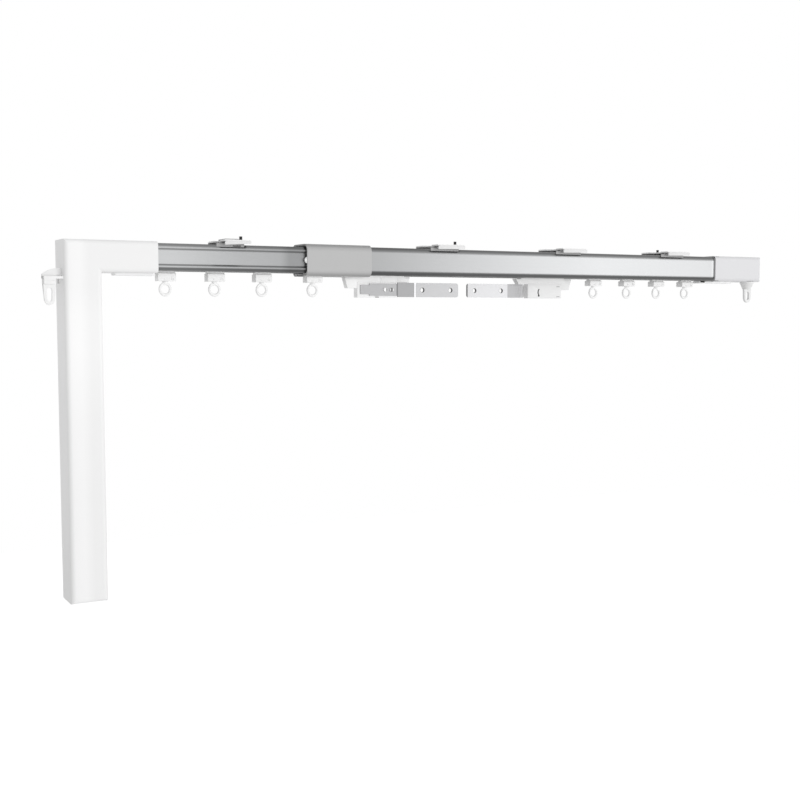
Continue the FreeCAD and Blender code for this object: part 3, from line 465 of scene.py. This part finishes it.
def make_finish(name, colour, rough=0.4, metal=0.0, surface="grain", size=1800.0, change=0.02,
                bump=0.02, bands=()):
    """A procedural material: a colour with tones, a fine surface, and its gloss."""
    if name in FINISHES:
        return FINISHES[name]
    material = bpy.data.materials.new(name)
    material.use_nodes = True
    tree = material.node_tree
    shader = tree.nodes["Principled BSDF"]
    shader.inputs["Roughness"].default_value = rough
    shader.inputs["Metallic"].default_value = metal
    effect = tree.nodes.new("ShaderNodeGroup")
    effect.node_tree = shared(surface)
    for socket, value in zip(effect.inputs, (size, change)):
        socket.default_value = value
    base = tree.nodes.new("ShaderNodeRGB")
    base.outputs[0].default_value = (*colour, 1)
    shade = toned(tree, base.outputs[0], effect.outputs["Tone"])
    for axis, stops in bands:
        shade = toned(tree, shade, banded(tree, axis, stops))
    tree.links.new(shade, shader.inputs["Base Color"])
    if surface == "drawn":
        gloss = arithmetic(tree, "ADD", effect.outputs["Gloss"], rough)
        tree.links.new(gloss, shader.inputs["Roughness"])
    relief = tree.nodes.new("ShaderNodeBump")
    relief.inputs["Strength"].default_value = bump
    relief.inputs["Distance"].default_value = 0.2 * MM
    tree.links.new(effect.outputs["Height"], relief.inputs["Height"])
    tree.links.new(relief.outputs["Normal"], shader.inputs["Normal"])
    FINISHES[name] = material
    return material


def grey_finish(name, grey, **look):
    return make_finish(name, (grey, grey, grey), **look)


def white_moulding(name, rough=0.35, tone=1.0, bands=()):
    colour = [tone * channel for channel in colours().moulding]
    return make_finish(name, colour, rough=rough, change=0.03, bump=0.04, bands=bands)


# Stage

class TRACK_OT_stage(Operator):
    """Floor, lights, white surroundings and the camera at the photograph's angle"""
    bl_idname = "curtain_track.stage"
    bl_label = "Stage"

    def execute(self, context):
        scene = context.scene
        scene.view_settings.view_transform = "Standard"
        clear_selection()
        bpy.ops.mesh.primitive_plane_add(size=12, location=(0.2, 0, -1.5))
        floor = named("floor")
        floor.data.materials.append(self.floor_paint())
        self.surround(scene)
        self.lamps()
        bpy.ops.object.camera_add(location=CAMERA_PLACE, rotation=CAMERA_TURN)
        camera = context.object
        camera.name = "photo_camera"
        camera.data.sensor_width = SENSOR_WIDTH
        camera.data.lens = LENS
        scene.camera = camera
        return {"FINISHED"}

    def floor_paint(self):
        """Plain pale paint that still takes a shadow."""
        material = bpy.data.materials.new("floor_paint")
        material.use_nodes = True
        tree = material.node_tree
        shader = tree.nodes["Principled BSDF"]
        shader.inputs["Base Color"].default_value = (0.8, 0.8, 0.8, 1)
        shader.inputs["Roughness"].default_value = 0.9
        shader.inputs["Emission Color"].default_value = (1, 1, 1, 1)
        path = tree.nodes.new("ShaderNodeLightPath")
        seen = arithmetic(tree, "MULTIPLY", path.outputs["Is Camera Ray"], 0.4)
        glow = arithmetic(tree, "ADD", seen, 0.15)
        tree.links.new(glow, shader.inputs["Emission Strength"])
        return material

    def surround(self, scene):
        """A world that lights at a plain level and shows as white to the camera and in metal."""
        world = bpy.data.worlds.new("white_surroundings")
        scene.world = world
        world.use_nodes = True
        tree = world.node_tree
        path = tree.nodes.new("ShaderNodeLightPath").outputs
        seen = arithmetic(tree, "MAXIMUM", path["Is Camera Ray"], path["Is Glossy Ray"])
        seen = arithmetic(tree, "MAXIMUM", seen, path["Is Transmission Ray"])
        strength = tree.nodes.new("ShaderNodeMapRange")
        strength.inputs["To Min"].default_value = WORLD_LIGHT
        strength.inputs["To Max"].default_value = WORLD_SEEN
        tree.links.new(seen, strength.inputs["Value"])
        tree.links.new(strength.outputs[0], tree.nodes["Background"].inputs["Strength"])
        tree.nodes["Background"].inputs["Color"].default_value = (1, 1, 1, 1)

    def lamps(self):
        bpy.ops.object.light_add(type="SUN", rotation=self.towards(WINDOW_SIDE))
        sun = bpy.context.object
        sun.name = "window_light"
        sun.data.energy = 1.25
        sun.data.angle = math.radians(40)
        sun.visible_glossy = False
        bpy.ops.object.light_add(type="AREA", location=SOFTBOX_PLACE,
                                 rotation=self.towards(SOFTBOX_PLACE - SOFTBOX_AIM))
        soft = bpy.context.object
        soft.name = "right_softbox"
        soft.data.shape = "RECTANGLE"
        soft.data.size = SOFTBOX_WIDTH
        soft.data.size_y = SOFTBOX_WIDTH
        soft.data.energy = 4.0

    def towards(self, direction):
        """The turn of a lamp that shines from a direction on to the object."""
        return Vector(direction).to_track_quat("Z", "Y").to_euler()


# Rails, sleeve and boxes

class TRACK_OT_rails(Operator):
    """Anodised finishes of the two rails, the joint sleeve and its gasket, with painted shade and
    painted reflection in the tones of the rails and sleeve
    """
    bl_idname = "curtain_track.rails"
    bl_label = "Rails and sleeve"

    def execute(self, context):
        # Painted shade and reflection on the outer rail: the Z bands darken its top and bottom
        # edges, and the X bands paint a sheen that brightens towards the right, with a painted
        # highlight line just before the end box.
        painted_edge_shade = stops_between(
            "outer_rail", Z, [(0, 0.42), (1.6, 0.25), (3.3, 0.34), (4.9, 0.98)],
            [(5.4, 0.98), (4.2, 0.58), (2.5, 0.37), (1.2, 0.22), (0.2, 0.12), (0.08, 0.7),
             (0, 0.7)])
        along = stops_mm((70, 0.93), (148.6, 0.965), (228, 1.115), (313.5, 1.19), (418.5, 1.25),
                         (547.5, 1.15), (580.5, 1.12), (582, 1.3), (584.5, 1.3), (586, 1.1))
        cover(self.anodised("outer_anodised", 0.3, 0.05, painted_edge_shade, along), "outer_rail")
        # Painted shade on the inner rail's bevels and steps, and along X a painted reflection that
        # darkens towards the sleeve.
        painted_edge_shade = stops_between(
            "inner_rail", Z,
            [(0, 0.6), (1, 0.38), (2.4, 0.36), (3.4, 0.9), (4.3, 0.85), (4.7, 0.38), (5.7, 0.38),
             (6.4, 1)],
            [(6.3, 1), (5.7, 0.9), (5.3, 0.52), (4.8, 0.52), (4.4, 0.88), (3.3, 0.85), (2.6, 0.48),
             (1.3, 0.34), (0, 0.38)])
        along = stops_mm((-114, 1.36), (-56.4, 1.32), (5, 1.05), (45, 0.95), (54, 0.72),
                         (236, 0.68))
        cover(self.anodised("inner_anodised", 0.32, 0.06, painted_edge_shade, along), "inner_rail")
        # Painted shade on the sleeve's top and bottom edges, with a painted highlight line along
        # its lowest edge.
        painted_shoulder_shade = stops_between(
            "joint_sleeve", Z, [(0, 1.3), (0.1, 1.3), (0.25, 0.7), (1.5, 0.7), (4.2, 0.97), (6, 1)],
            [(7, 1), (3.5, 0.87), (2, 0.66), (0, 0.52)])
        cover(make_finish("sleeve_grey", colours().sleeve, rough=0.45, change=0.03, bump=0.05,
                          bands=[(Z, painted_shoulder_shade)]), "joint_sleeve")
        self.mouth_stop()
        pale_foot = stops_between("sleeve_gasket", Z, [(0, 1), (2, 1), (2.6, 0.03)], [(0, 0.03)])
        cover(grey_finish("gasket_rubber", 0.6, rough=0.7, bump=0.2, bands=[(Z, pale_foot)]),
              "sleeve_gasket")
        return {"FINISHED"}

    # Anodised metal; its bands are painted shade and painted reflection.
    def anodised(self, name, rough, change, painted_edge_shade, along):
        return make_finish(name, colours().rail, rough=rough, metal=0.9, surface="drawn",
                           size=1400.0, change=change, bump=0.03, bands=[(Z, painted_edge_shade), (X, along)])

    def mouth_stop(self):
        """The pale half round stop in the sleeve's left mouth, beside the recessed web."""
        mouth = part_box("joint_sleeve")[0].x
        stop = disc("mouth_stop", (mouth + 1.1 * MM, -16.6 * MM, -18.2 * MM), 3.1 * MM, 2 * MM, 40)
        keeper = block("keeper", (mouth - 3 * MM, -18 * MM, -24 * MM),
                       (mouth + 0.4 * MM, -12 * MM, -12 * MM))
        combine(stop, keeper, "INTERSECT")
        dress(stop, white_moulding("stop_moulding"), "carrier_white", "extension")


class TRACK_OT_housings(Operator):
    """Finishes of the drive casing, its cover and cap, the end box and the cover strips, with a
    painted highlight on the casing, painted shade on the end box's left edge and dark pieces that
    paint shadow at the end box's mouth and strip
    """
    bl_idname = "curtain_track.housings"
    bl_label = "Drive casing and end box"

    def execute(self, context):
        # Painted highlight: a brighter band near the casing's left front edge, strongest part way
        # down the column.
        glow = stops_between("drive_casing", X,
                             [(0, 1.0), (7, 1.055), (13, 1.06), (21, 1.0), (82, 1)])
        height = stops_mm((-340, 0.98), (-230, 0.98), (-160, 0.995), (-100, 1.035), (-70, 1.03),
                          (-45, 1), (0, 0.995))
        cover(self.satin("satin_casing", colours().casing, (X, glow), (Z, height)),
              "drive_casing", "rear_cover", "bottom_cap")
        # Painted shade: the end box darker along its left edge.
        edge = stops_between("end_box", X, [(0, 0.5), (0.3, 0.6), (0.7, 1)], [(0, 1)])
        cover(self.satin("end_casing", colours().end, (X, edge)), "end_box")
        self.strip("drive_box_strip", "drive_end")
        self.strip("end_box_strip", "extension")
        self.mouth_shadow()
        self.strip_shadow()
        return {"FINISHED"}

    def satin(self, name, colour, *bands):
        return make_finish(name, colour, rough=0.38, size=1500.0, change=0.012, bump=0.03,
                           bands=bands)

    def strip(self, node, body):
        """A cover strip with rounded ends and lower edges and a shallow groove underneath."""
        low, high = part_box(node)
        bar = block("shaped_" + node, low, high)
        bevel_edges(bar, lambda edge: runs(edge, Z), 1.5 * MM, 6)
        bevel_edges(bar, lambda edge: middle_of(edge).z < low.z + HAIR, 0.6 * MM, 3)
        groove = block("groove", (low.x + 3 * MM, -4 * MM, low.z - MM),
                       (high.x - 3 * MM, -3.2 * MM, low.z + 0.5 * MM))
        combine(bar, groove)
        smooth(35)
        gloss = make_finish("strip_gloss", (0.93, 0.93, 0.935), rough=0.22)
        dress(bar, gloss, "strip_white", body, node)

    def mouth_shadow(self):
        """A dark band round the outer rail in the mouth of the end box, painted shadow in the gap
        there.
        """
        low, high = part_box("outer_rail")
        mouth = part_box("end_box")[0].x
        rim, flat_rim = 0.9 * MM, 0.54 * MM
        band = block("end_mouth_shadow", (mouth - 0.15 * MM, low.y - rim, low.z - flat_rim),
                     (mouth, high.y + rim, high.z + flat_rim))
        inside = block("inside", (mouth - 2 * MM, low.y + HAIR, low.z + HAIR),
                       (mouth + MM, high.y - HAIR, high.z - HAIR))
        for ring, radius in ((band, 5.4 * MM), (inside, 4.7 * MM)):
            bevel_edges(ring, lambda edge: runs(edge, X), radius, 8)
        combine(band, inside)
        dress(band, grey_finish("mouth_shadow_grey", 0.5, rough=0.6), "gasket_black", "extension")

    def strip_shadow(self):
        """A near-black block at the left end of the end box's cover strip, painted shadow under the
        rail.
        """
        left, front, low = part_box("end_box_strip")[0]
        shadow_piece = block("strip_shadow", (left + 1.5 * MM, front - 0.05 * MM, low + 0.9 * MM),
                       (left + 8 * MM, front + 1.8 * MM, low + 2.3 * MM))
        dress(shadow_piece, grey_finish("strip_shadow_black", 0.02, rough=0.6), "gasket_black", "extension")


# Gliders

class TRACK_OT_gliders(Operator):
    """Eight gliders with ring eyes on pins"""
    bl_idname = "curtain_track.gliders"
    bl_label = "Gliders"

    def execute(self, context):
        shell = white_moulding("glider_shell")
        for first, last in ((1, 4), (5, 8)):
            low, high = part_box(f"glider_{first}_body")
            eye_low, eye_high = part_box(f"glider_{first}_eye")
            middle = (eye_low.x + eye_high.x) / 2
            body = self.body(low, high, middle)
            eye = self.eye(eye_low.z, eye_high.z, low.z, middle)
            for number in range(first, last + 1):
                glider = f"glider_{number}"
                step = (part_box(f"{glider}_body")[0].x - low.x, 0, 0)
                one = copied(body, f"shaped_{glider}", step)
                dress(one, shell, "glider_white", glider, f"{glider}_body")
                ring = copied(eye, f"ring_eye_{number}", step)
                dress(ring, shell, "glider_white", f"{glider}_eye", f"{glider}_eye")
            bpy.data.objects.remove(body)
            bpy.data.objects.remove(eye)
        return {"FINISHED"}

    def body(self, low, high, middle):
        """A hipped body on a neck with a head in the rail, rounded at its right end."""
        half, hip, neck, head = 5 * MM, 0.6 * MM, 2.7 * MM, 1.8 * MM
        base = high.z - head - neck - hip
        body = block("glider_body", (low.x, -half, low.z), (high.x, half, base))
        bevel_edges(body, lambda edge: runs(edge, Z) and middle_of(edge).x > high.x - 0.1 * MM,
                    2.2 * MM, 5)
        bevel_edges(body, lambda edge: runs(edge, Y) and middle_of(edge).x > high.x - 3 * MM
                    and middle_of(edge).z < low.z + 0.1 * MM, 0.8 * MM, 3)
        push(body, upward, (0, 0, hip), (1, 0.4, 1))
        push(body, upward, (0, 0, neck))
        push(body, upward, (0, 0, 0), (1, 4, 1))
        push(body, upward, (0, 0, head))
        foot = low.z + 1.3 * MM
        for left, width, tall in ((-3.1, 1.0, 1.3), (4.2, 0.7, 2.6), (5.9, 0.7, 1.6)):
            pit = block("pit", (middle + left * MM, -6 * MM, foot),
                        (middle + (left + width) * MM, -4.4 * MM, foot + tall * MM))
            combine(body, pit)
        hole = turned("pin_hole", (middle, 0, low.z - MM), Z,
                      [(1.55 * MM, 0), (1.55 * MM, 6.1 * MM)])
        combine(body, hole)
        soften(body, 0.625)
        return body

    def eye(self, low, high, body_low, middle):
        """A ring, a little taller than wide, under a flared collar and its pin."""
        clear_selection()
        outer, band, stretch = 6 * MM, 2.5 * MM, 1.09
        bpy.ops.mesh.primitive_torus_add(
            major_radius=outer - band / 2, minor_radius=band / 2,
            major_segments=sizes().ring_segments, minor_segments=16, rotation=(math.pi / 2, 0, 0))
        ring = named("ring")
        ring.scale = (1, 1, stretch)
        ring.location = (middle, 0, low + outer * stretch)
        settle(ring)
        top = low + 2 * outer * stretch
        pin = turned("pin", (middle, 0, 0), Z, [
            (1.9 * MM, top - 1.6 * MM), (2 * MM, top - 0.4 * MM),
            (2.6 * MM, body_low - 0.4 * MM), (2.6 * MM, body_low - 0.1 * MM),
            (1.5 * MM, body_low - 0.09 * MM), (1.5 * MM, high - 0.4 * MM), (1.1 * MM, high)], 28)
        eye = gather("ring_eye", [ring, pin])
        smooth(40)
        return eye


# End eyes

def wire_loop(name, middle, front, high, drop, depth, taper):
    """A hanging loop: an upright bar rounded below, with a long rounded hole, narrower below."""
    half, wire = LOOP_WIDTH / 2, LOOP_WIRE
    low, back = high - drop, front + depth
    loop = block(name, (middle - half, front, low), (middle + half, back, high))
    bevel_edges(loop, lambda edge: runs(edge, Y) and middle_of(edge).z < low + HAIR,
                half * 0.998, 12)
    hole = block("hole", (middle - half + wire, front - MM, low + wire),
                 (middle + half - wire, back + MM, high - wire))
    bevel_edges(hole, lambda edge: runs(edge, Y), (half - wire) * 0.95, 8)
    combine(loop, hole)
    for vertex in loop.data.vertices:
        narrowing = 1 - taper * (high - vertex.co.z) / drop
        vertex.co.x = middle + (vertex.co.x - middle) * narrowing
    return loop


class TRACK_OT_end_eyes(Operator):
    """The cord eyes at both ends"""
    bl_idname = "curtain_track.end_eyes"
    bl_label = "End eyes"

    def execute(self, context):
        self.left_eye()
        self.right_eye()
        return {"FINISHED"}

    def left_eye(self):
        """A foot on the column's side with a curved fin above it and a loop under a knuckle."""
        low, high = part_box("left_end_eye")
        left, right, back = low.x, high.x, high.y
        front = back - 14.3 * MM
        foot = block("foot", (left, front, -38.3 * MM), (right, back, -36.2 * MM))
        for vertex in foot.data.vertices:
            if vertex.co.x < left + MM and vertex.co.y > back - MM:
                vertex.co.x += 4.5 * MM
        bevel_edges(foot, lambda edge: runs(edge, Z) and middle_of(edge).x < left + MM, 1.1 * MM, 5)
        outline = ((0, -36.3), (-16.8, -36.3), (-16.8, -34.4), (-14.6, -32.6), (-12, -31.2),
                   (-8.7, -29.8), (-5.3, -29.2), (0, -29.1))
        fin = prism("fin", [(right + along * MM, up * MM) for along, up in outline],
                    back - 7 * MM, back)
        for vertex in fin.data.vertices:
            if vertex.co.x < right - 4 * MM and vertex.co.y > back - MM:
                vertex.co.x += 2.5 * MM
        middle, hang = right - 11.3 * MM, -43 * MM
        knuckle = block("knuckle", (middle - 4.95 * MM, front, hang),
                        (middle + 4.95 * MM, front + 8.8 * MM, -38.2 * MM))
        loop = wire_loop("left_loop", middle, EYE_AXIS - 2 * MM, hang, 17.8 * MM, 3 * MM, 0.26)
        for tool in (fin, knuckle, loop):
            combine(foot, tool, "UNION")
        groove = block("groove", (middle - 4.2 * MM, front - MM, -40.2 * MM),
                       (middle + 4.2 * MM, front + 0.4 * MM, -39.8 * MM))
        combine(foot, groove)
        rename(foot, "shaped_left_eye")
        soften(foot, 1.25, 3, 35)
        # Painted shade: the eye darker at its left end.
        shade = stops_between("left_end_eye", X, [(0, 0.5), (1.5, 0.42), (2.6, 0.95)], [(0, 1)])
        dress(foot, white_moulding("left_eye_moulding", rough=0.3, bands=[(X, shade)]),
              "eye_white", "drive_end", "left_end_eye")
        bar = block("eye_bar", (right - MM, 4.6 * MM, -42.2 * MM),
                    (right - 0.02 * MM, 5.8 * MM, -38 * MM))
        dress(bar, grey_finish("bar_grey", 0.75, rough=0.5), "screw_black", "drive_end")

    def right_eye(self):
        """A loop under a round collar that narrows downwards."""
        low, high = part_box("right_end_eye")
        middle = (low.x + high.x) / 2
        collar = turned("shaped_right_eye", (middle, EYE_AXIS, high.z), Z, [
            mm(5, -8.5), mm(5.2, -7.6), mm(7, -3.2), mm(7.9, -1.8), mm(8, -1.2), mm(8, 0)], 48)
        loop = wire_loop("right_loop", middle, EYE_AXIS - 2 * MM, high.z - 8.4 * MM, 15.9 * MM,
                         2.6 * MM, 0.15)
        combine(collar, loop, "UNION")
        soften(collar, 1, 3, 35)
        dress(collar, white_moulding("right_eye_moulding", rough=0.3, tone=0.86), "eye_white",
              "extension", "right_end_eye")


# Master carriers

class TRACK_OT_masters(Operator):
    """Two master carriers with moulded bodies, plated arms, screws and wheels"""
    bl_idname = "curtain_track.masters"
    bl_label = "Master carriers"

    def execute(self, context):
        self.plates()
        self.hole_shadows()
        wheels = grey_finish("wheel_acetal", 0.8, rough=0.35)
        clamp = grey_finish("clamp_black", 0.03, rough=0.5)
        for side, rail, tone, rake, details in (
                ("left", "inner_rail", 1, 0.5, self.left_details),
                ("right", "outer_rail", 0.9, 4, self.right_details)):
            master = f"{side}_master"
            low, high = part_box(f"{master}_body")
            body = self.body(low.z, high.z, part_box(rail)[0].z + 1.8 * MM, rake)
            inlays = details(body)
            for item in [body, *(inlay for inlay, finish, slot in inlays)]:
                if side == "right":
                    item.rotation_euler = (0, 0, math.pi)
                    settle(item)
                item.location = (low.x if side == "left" else high.x, 0, 0)
                settle(item)
            for inlay, finish, slot in inlays:
                dress(inlay, finish, slot, master)
            rename(body, f"shaped_{master}")
            soften(body, 0.875)
            shell = white_moulding(f"{side}_carrier_moulding", rough=0.4, tone=tone)
            dress(body, shell, "carrier_white", master, f"{master}_body")
            cover(wheels, f"{master}_front_wheels", f"{master}_rear_wheels")
            cover(clamp, f"{master}_belt_clamp")
        return {"FINISHED"}

    def body(self, low, high, floor, rake):
        """Carriage, lower block, neck and truck in one moulding, with its tab end at X = 0."""
        top, tab_low, deck = -32.3, -43.9, -37.9
        carriage = prism("carriage", [mm(0, top), mm(3.5, tab_low), mm(13.5, tab_low),
                                      mm(13.5, deck), mm(72.5 - rake, deck), mm(72.5, top)],
                         -3.5 * MM, 3.5 * MM)
        lower = block("lower", (13.5 * MM, -4 * MM, low), mm(57.4, 4, deck + 0.01))
        bevel_edges(lower, lambda edge: runs(edge, Z), MM, 4)
        neck = block("neck", mm(10, -3.9, top - 0.01), (66 * MM, 3.9 * MM, floor + HAIR))
        truck = block("truck", (10 * MM, -6.2 * MM, floor), (66 * MM, 6.2 * MM, high))
        for tool in (lower, neck, truck):
            combine(carriage, tool, "UNION")
        return carriage

    def left_details(self, body):
        """Two lines across the carriage, and the dark rivet under the plate that it returns."""
        for left, right, high in ((37.4, 40.4, -33.4), (58.5, 58.9, -33.2)):
            combine(body, block("line", mm(left, CARRIER_FRONT, -37.6), mm(right, -3.2, high)))
        rivet = block("under_rivet", mm(33.4, CARRIER_FRONT, -52.88), mm(37.2, -3, -52.2))
        return [(rivet, grey_finish("rivet_grey", 0.2, metal=0.5), "screw_black")]

    def right_details(self, body):
        """A hook-shaped recess in the right carrier's front; returns inlays, finishes and slots.

        The front is drawn on the far side, because the carrier is turned half way round later.
        """
        combine(body, self.crescent(3.2, 2))
        # Painted shadow: the near-black hook and foot inlays darken the recess.
        dark = grey_finish("recess_shadow_black", 0.012, rough=0.7)
        faint = grey_finish("groove_grey", 0.42, rough=0.6)
        hook = self.crescent(3.3, 0.6)
        foot = block("recess_foot", mm(42.2, 3.6, -51), mm(44.1, 4.05, -49.4))
        inlays = [(hook, dark, "screw_black"), (foot, dark, "screw_black")]
        for name, up in (("dash_high", -40.4), ("dash_low", -51.1)):
            dash = block(name, mm(15.8, 3.6, up - 0.4), mm(20, 4.05, up + 0.4))
            inlays.append((dash, faint, "carrier_white"))
        pale = white_moulding("button_moulding")
        for name, along, up, radius in (("button_large", 42.9, -36.7, 0.95),
                                        ("button_small", 29.2, -36.9, 0.6)):
            rings = [mm(radius, 0), mm(radius, 0.3), mm(0.7 * radius, 0.5)]
            inlays.append((turned(name, mm(along, 3.3, up), Y, rings, 24), pale, "carrier_white"))
        return inlays

    def crescent(self, start, length):
        """A shallow hook shape, the difference of two shifted discs."""
        hook = disc("recess_hook", mm(39.7, start, -46.5), 5 * MM, length * MM, 48)
        core = disc("core", mm(38.3, start - 0.2, -46.5), 5 * MM, (length + 0.4) * MM, 48)
        combine(hook, core)
        keeper = block("keeper", mm(40, start - 1, -50.2), mm(48, start + length + 1, -43))
        return combine(hook, keeper, "INTERSECT")

    def hole_shadows(self):
        """A dark lining in each blade hole, reaching a short way behind the blade: painted shadow
        on the hole's walls.
        """
        hole_shade = grey_finish("hole_shadow_grey", 0.14, rough=0.6)
        for mount in frame["record"]["mounts"]:
            if not mount["name"].endswith("arm_holes"):
                continue
            side = mount["name"].split("_")[0]
            middle, face, height = mount["pos_m"]
            front = min(face, face - mount["axis"][Y] * ARM_THICK)
            near, far = front + 0.05 * MM, front + 2.5 * MM
            for number, place in enumerate((middle - HOLE_APART / 2, middle + HOLE_APART / 2), 1):
                start = (place, 0, height)
                ring = turned(f"{side}_blade_hole_shadow_{number}", start, Y,
                              [(2.49 * MM, near), (2.49 * MM, far)], 40)
                bore = turned("bore", start, Y, [(2.25 * MM, near - MM), (2.25 * MM, far + MM)], 40)
                combine(ring, bore)
                dress(ring, hole_shade, "screw_black", f"{side}_master")

    def plates(self):
        """Painted light and shade on the arms and screws: tones along X for how plate, jog and
        blade catch the light, painted highlights and shadow lines at bends and edges, and a painted
        glint on a screw.
        """
        painted_arm_light = {
            "left": (
                stops_mm((132, 0.8), (172.6, 0.8), (173.2, 0.36), (174.2, 0.36), (174.6, 0.555),
                         (194.4, 0.555), (194.7, 1.5), (195.8, 1.5), (196.2, 0.93), (247, 0.93)),
                stops_mm((157, 1), (160.6, 1), (160.9, 0.3), (162.5, 0.3), (163.5, 1), (166.2, 1),
                         (166.5, 0.03), (167.8, 0.03), (168.1, 1), (170, 1))),
            "right": (
                stops_mm((259.2, 0.2), (260.2, 0.25), (260.7, 1.1), (309.7, 1.1), (310.1, 0.64),
                         (322, 0.64), (325, 0.85), (328, 1.5), (330.8, 1.8), (373, 1.5)),
                stops_mm((338, 0.9), (350, 0.9))),
        }
        for side, (plate, screws) in painted_arm_light.items():
            steel = make_finish(f"{side}_plated_steel", colours().plate, rough=0.34, metal=0.85,
                                surface="drawn", size=2200.0, change=0.06, bump=0.05,
                                bands=[(X, plate)])
            cover(steel, f"{side}_master_arm")
            heads = grey_finish(f"{side}_screw_steel", 0.85, rough=0.3, metal=0.9,
                                bands=[(X, screws)])
            cover(heads, f"{side}_master_screws")


# Brackets

class TRACK_OT_brackets(Operator):
    """Ceiling brackets, their latches, the shim and the ceiling screws, with painted shade under
    the plates and a painted shadow under the first lip
    """
    bl_idname = "curtain_track.brackets"
    bl_label = "Ceiling brackets"

    def execute(self, context):
        for number in (1, 2, 3, 4):
            plate = f"bracket_{number}_plate"
            # Painted shade: each plate dark below, light only near its top face.
            depth = stops_between(plate, Z, [(0, 0.15)], [(1.5, 0.22), (1.1, 0.95), (0, 1)])
            cover(make_finish(f"plate_coat_painted_shade_{number}", colours().plating, rough=0.45, change=0.04,
                              bump=0.06, bands=[(Z, depth)]), plate)
            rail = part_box("inner_rail" if number == 1 else "outer_rail")[0].y
            self.latch(number)
            self.pad(number, rail)
            if number == 1:
                self.lip_shadow(rail)
        cover(grey_finish("shim_grey", 0.55, rough=0.6), "packing_shim")
        cover(grey_finish("black_oxide", 0.012, metal=0.3, change=0.08, bump=0.1),
              "ceiling_screw_left", "ceiling_screws_right")
        return {"FINISHED"}

    def latch(self, number):
        """A lip that narrows to the right, chamfered at its left end, with two arms behind it."""
        node = f"bracket_{number}_latch"
        low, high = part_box(node)
        top = high.z - 1.2 * MM
        right_low = low.z + (1.9 if number == 1 else 1.0) * MM
        outline = [(low.x, low.z + 0.4 * MM), (low.x, top - MM), (low.x + 1.4 * MM, top),
                   (high.x, top), (high.x, right_low)]
        lip = prism(f"shaped_latch_{number}", outline, low.y, low.y + 1.3 * MM)
        wide, tall, arm_high = 1.6 * MM, 1.2 * MM, high.z - 1.65 * MM
        for left in (low.x + 6 * MM, high.x - wide):
            arm = block("arm", (left, low.y + 1.2 * MM, arm_high - tall),
                        (left + wide, high.y, arm_high))
            combine(lip, arm, "UNION")
        soften(lip, 0.5)
        shell = white_moulding("latch_moulding", rough=0.3, tone=0.84)
        dress(lip, shell, "latch_white", f"latch_{number}", node)

    def pad(self, number, rail):
        """The grey foot of a latch on the rail's front corner."""
        low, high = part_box(f"bracket_{number}_latch")
        pad = block(f"latch_pad_{number}", (low.x - 5.5 * MM, rail - 0.8 * MM, low.z - 1.2 * MM),
                    (high.x - 4 * MM, rail - 0.2 * MM, low.z + 2.2 * MM))
        bevel_edges(pad, lambda edge: runs(edge, X), 0.4 * MM, 3)
        dress(pad, grey_finish("pad_grey", 0.4, change=0.04), "shim_grey", f"latch_{number}")

    def lip_shadow(self, rail):
        """A black dash under the first bracket's lip, painted shadow of the gap beneath it."""
        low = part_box("bracket_1_latch")[0].z
        lip_shadow = block("latch_lip_shadow", (-2.6 * MM, rail - 0.9 * MM, low - 0.7 * MM),
                    (5.2 * MM, rail - 0.3 * MM, low + 0.2 * MM))
        bevel_edges(lip_shadow, lambda edge: runs(edge, Y), 0.3 * MM, 2)
        dress(lip_shadow, grey_finish("lip_shadow_black", 0.012, rough=0.5), "screw_black", "latch_1")


# Inside of the drive

class TRACK_OT_drive_train(Operator):
    """Belts, pulleys, motor, gearbox and control board"""
    bl_idname = "curtain_track.drive_train"
    bl_label = "Drive train"

    def execute(self, context):
        cover(grey_finish("belt_rubber", 0.015, rough=0.6, change=0.1, bump=0.1),
              "belt_drive_side", "belt_idler_side")
        cover(grey_finish("pulley_black", 0.02, rough=0.45), "drive_pulley", "idler_pulley")
        cover(grey_finish("turned_steel", 0.55, rough=0.25, metal=1.0, surface="drawn"),
              "output_shaft", "idler_axle")
        cover(make_finish("motor_can", (0.12, 0.12, 0.13), rough=0.35, metal=0.7, surface="drawn"),
              "motor_can", "gearbox")
        cover(make_finish("board_green", (0.01, 0.12, 0.05), change=0.2, bump=0.2), "control_board")
        return {"FINISHED"}


class TRACK_PT_panel(Panel):
    """Lists the steps that build the curtain track"""
    bl_idname = "TRACK_PT_panel"
    bl_label = "Curtain track"
    bl_space_type = "VIEW_3D"
    bl_region_type = "UI"
    bl_category = "Curtain track"

    def draw(self, context):
        layout = self.layout
        for group in (context.scene.track_sizes, context.scene.track_colours):
            for name in group.bl_rna.properties.keys():
                if name not in ("rna_type", "name"):
                    layout.prop(group, name)
        for step in STEPS:
            layout.operator(step.bl_idname)


STEPS = (TRACK_OT_stage, TRACK_OT_rails, TRACK_OT_housings, TRACK_OT_gliders, TRACK_OT_end_eyes,
         TRACK_OT_masters, TRACK_OT_brackets, TRACK_OT_drive_train)
CLASSES = (TrackSizes, TrackColours, *STEPS, TRACK_PT_panel)


def register():
    for cls in CLASSES:
        bpy.utils.register_class(cls)
    bpy.types.Scene.track_sizes = PointerProperty(type=TrackSizes)
    bpy.types.Scene.track_colours = PointerProperty(type=TrackColours)


def unregister():
    del bpy.types.Scene.track_colours
    del bpy.types.Scene.track_sizes
    for cls in reversed(CLASSES):
        bpy.utils.unregister_class(cls)


def main():
    register()
    bpy.ops.curtain_track.stage()
    bpy.ops.curtain_track.rails()
    bpy.ops.curtain_track.housings()
    bpy.ops.curtain_track.gliders()
    bpy.ops.curtain_track.end_eyes()
    bpy.ops.curtain_track.masters()
    bpy.ops.curtain_track.brackets()
    bpy.ops.curtain_track.drive_train()


if __name__ == "__main__":
    main()
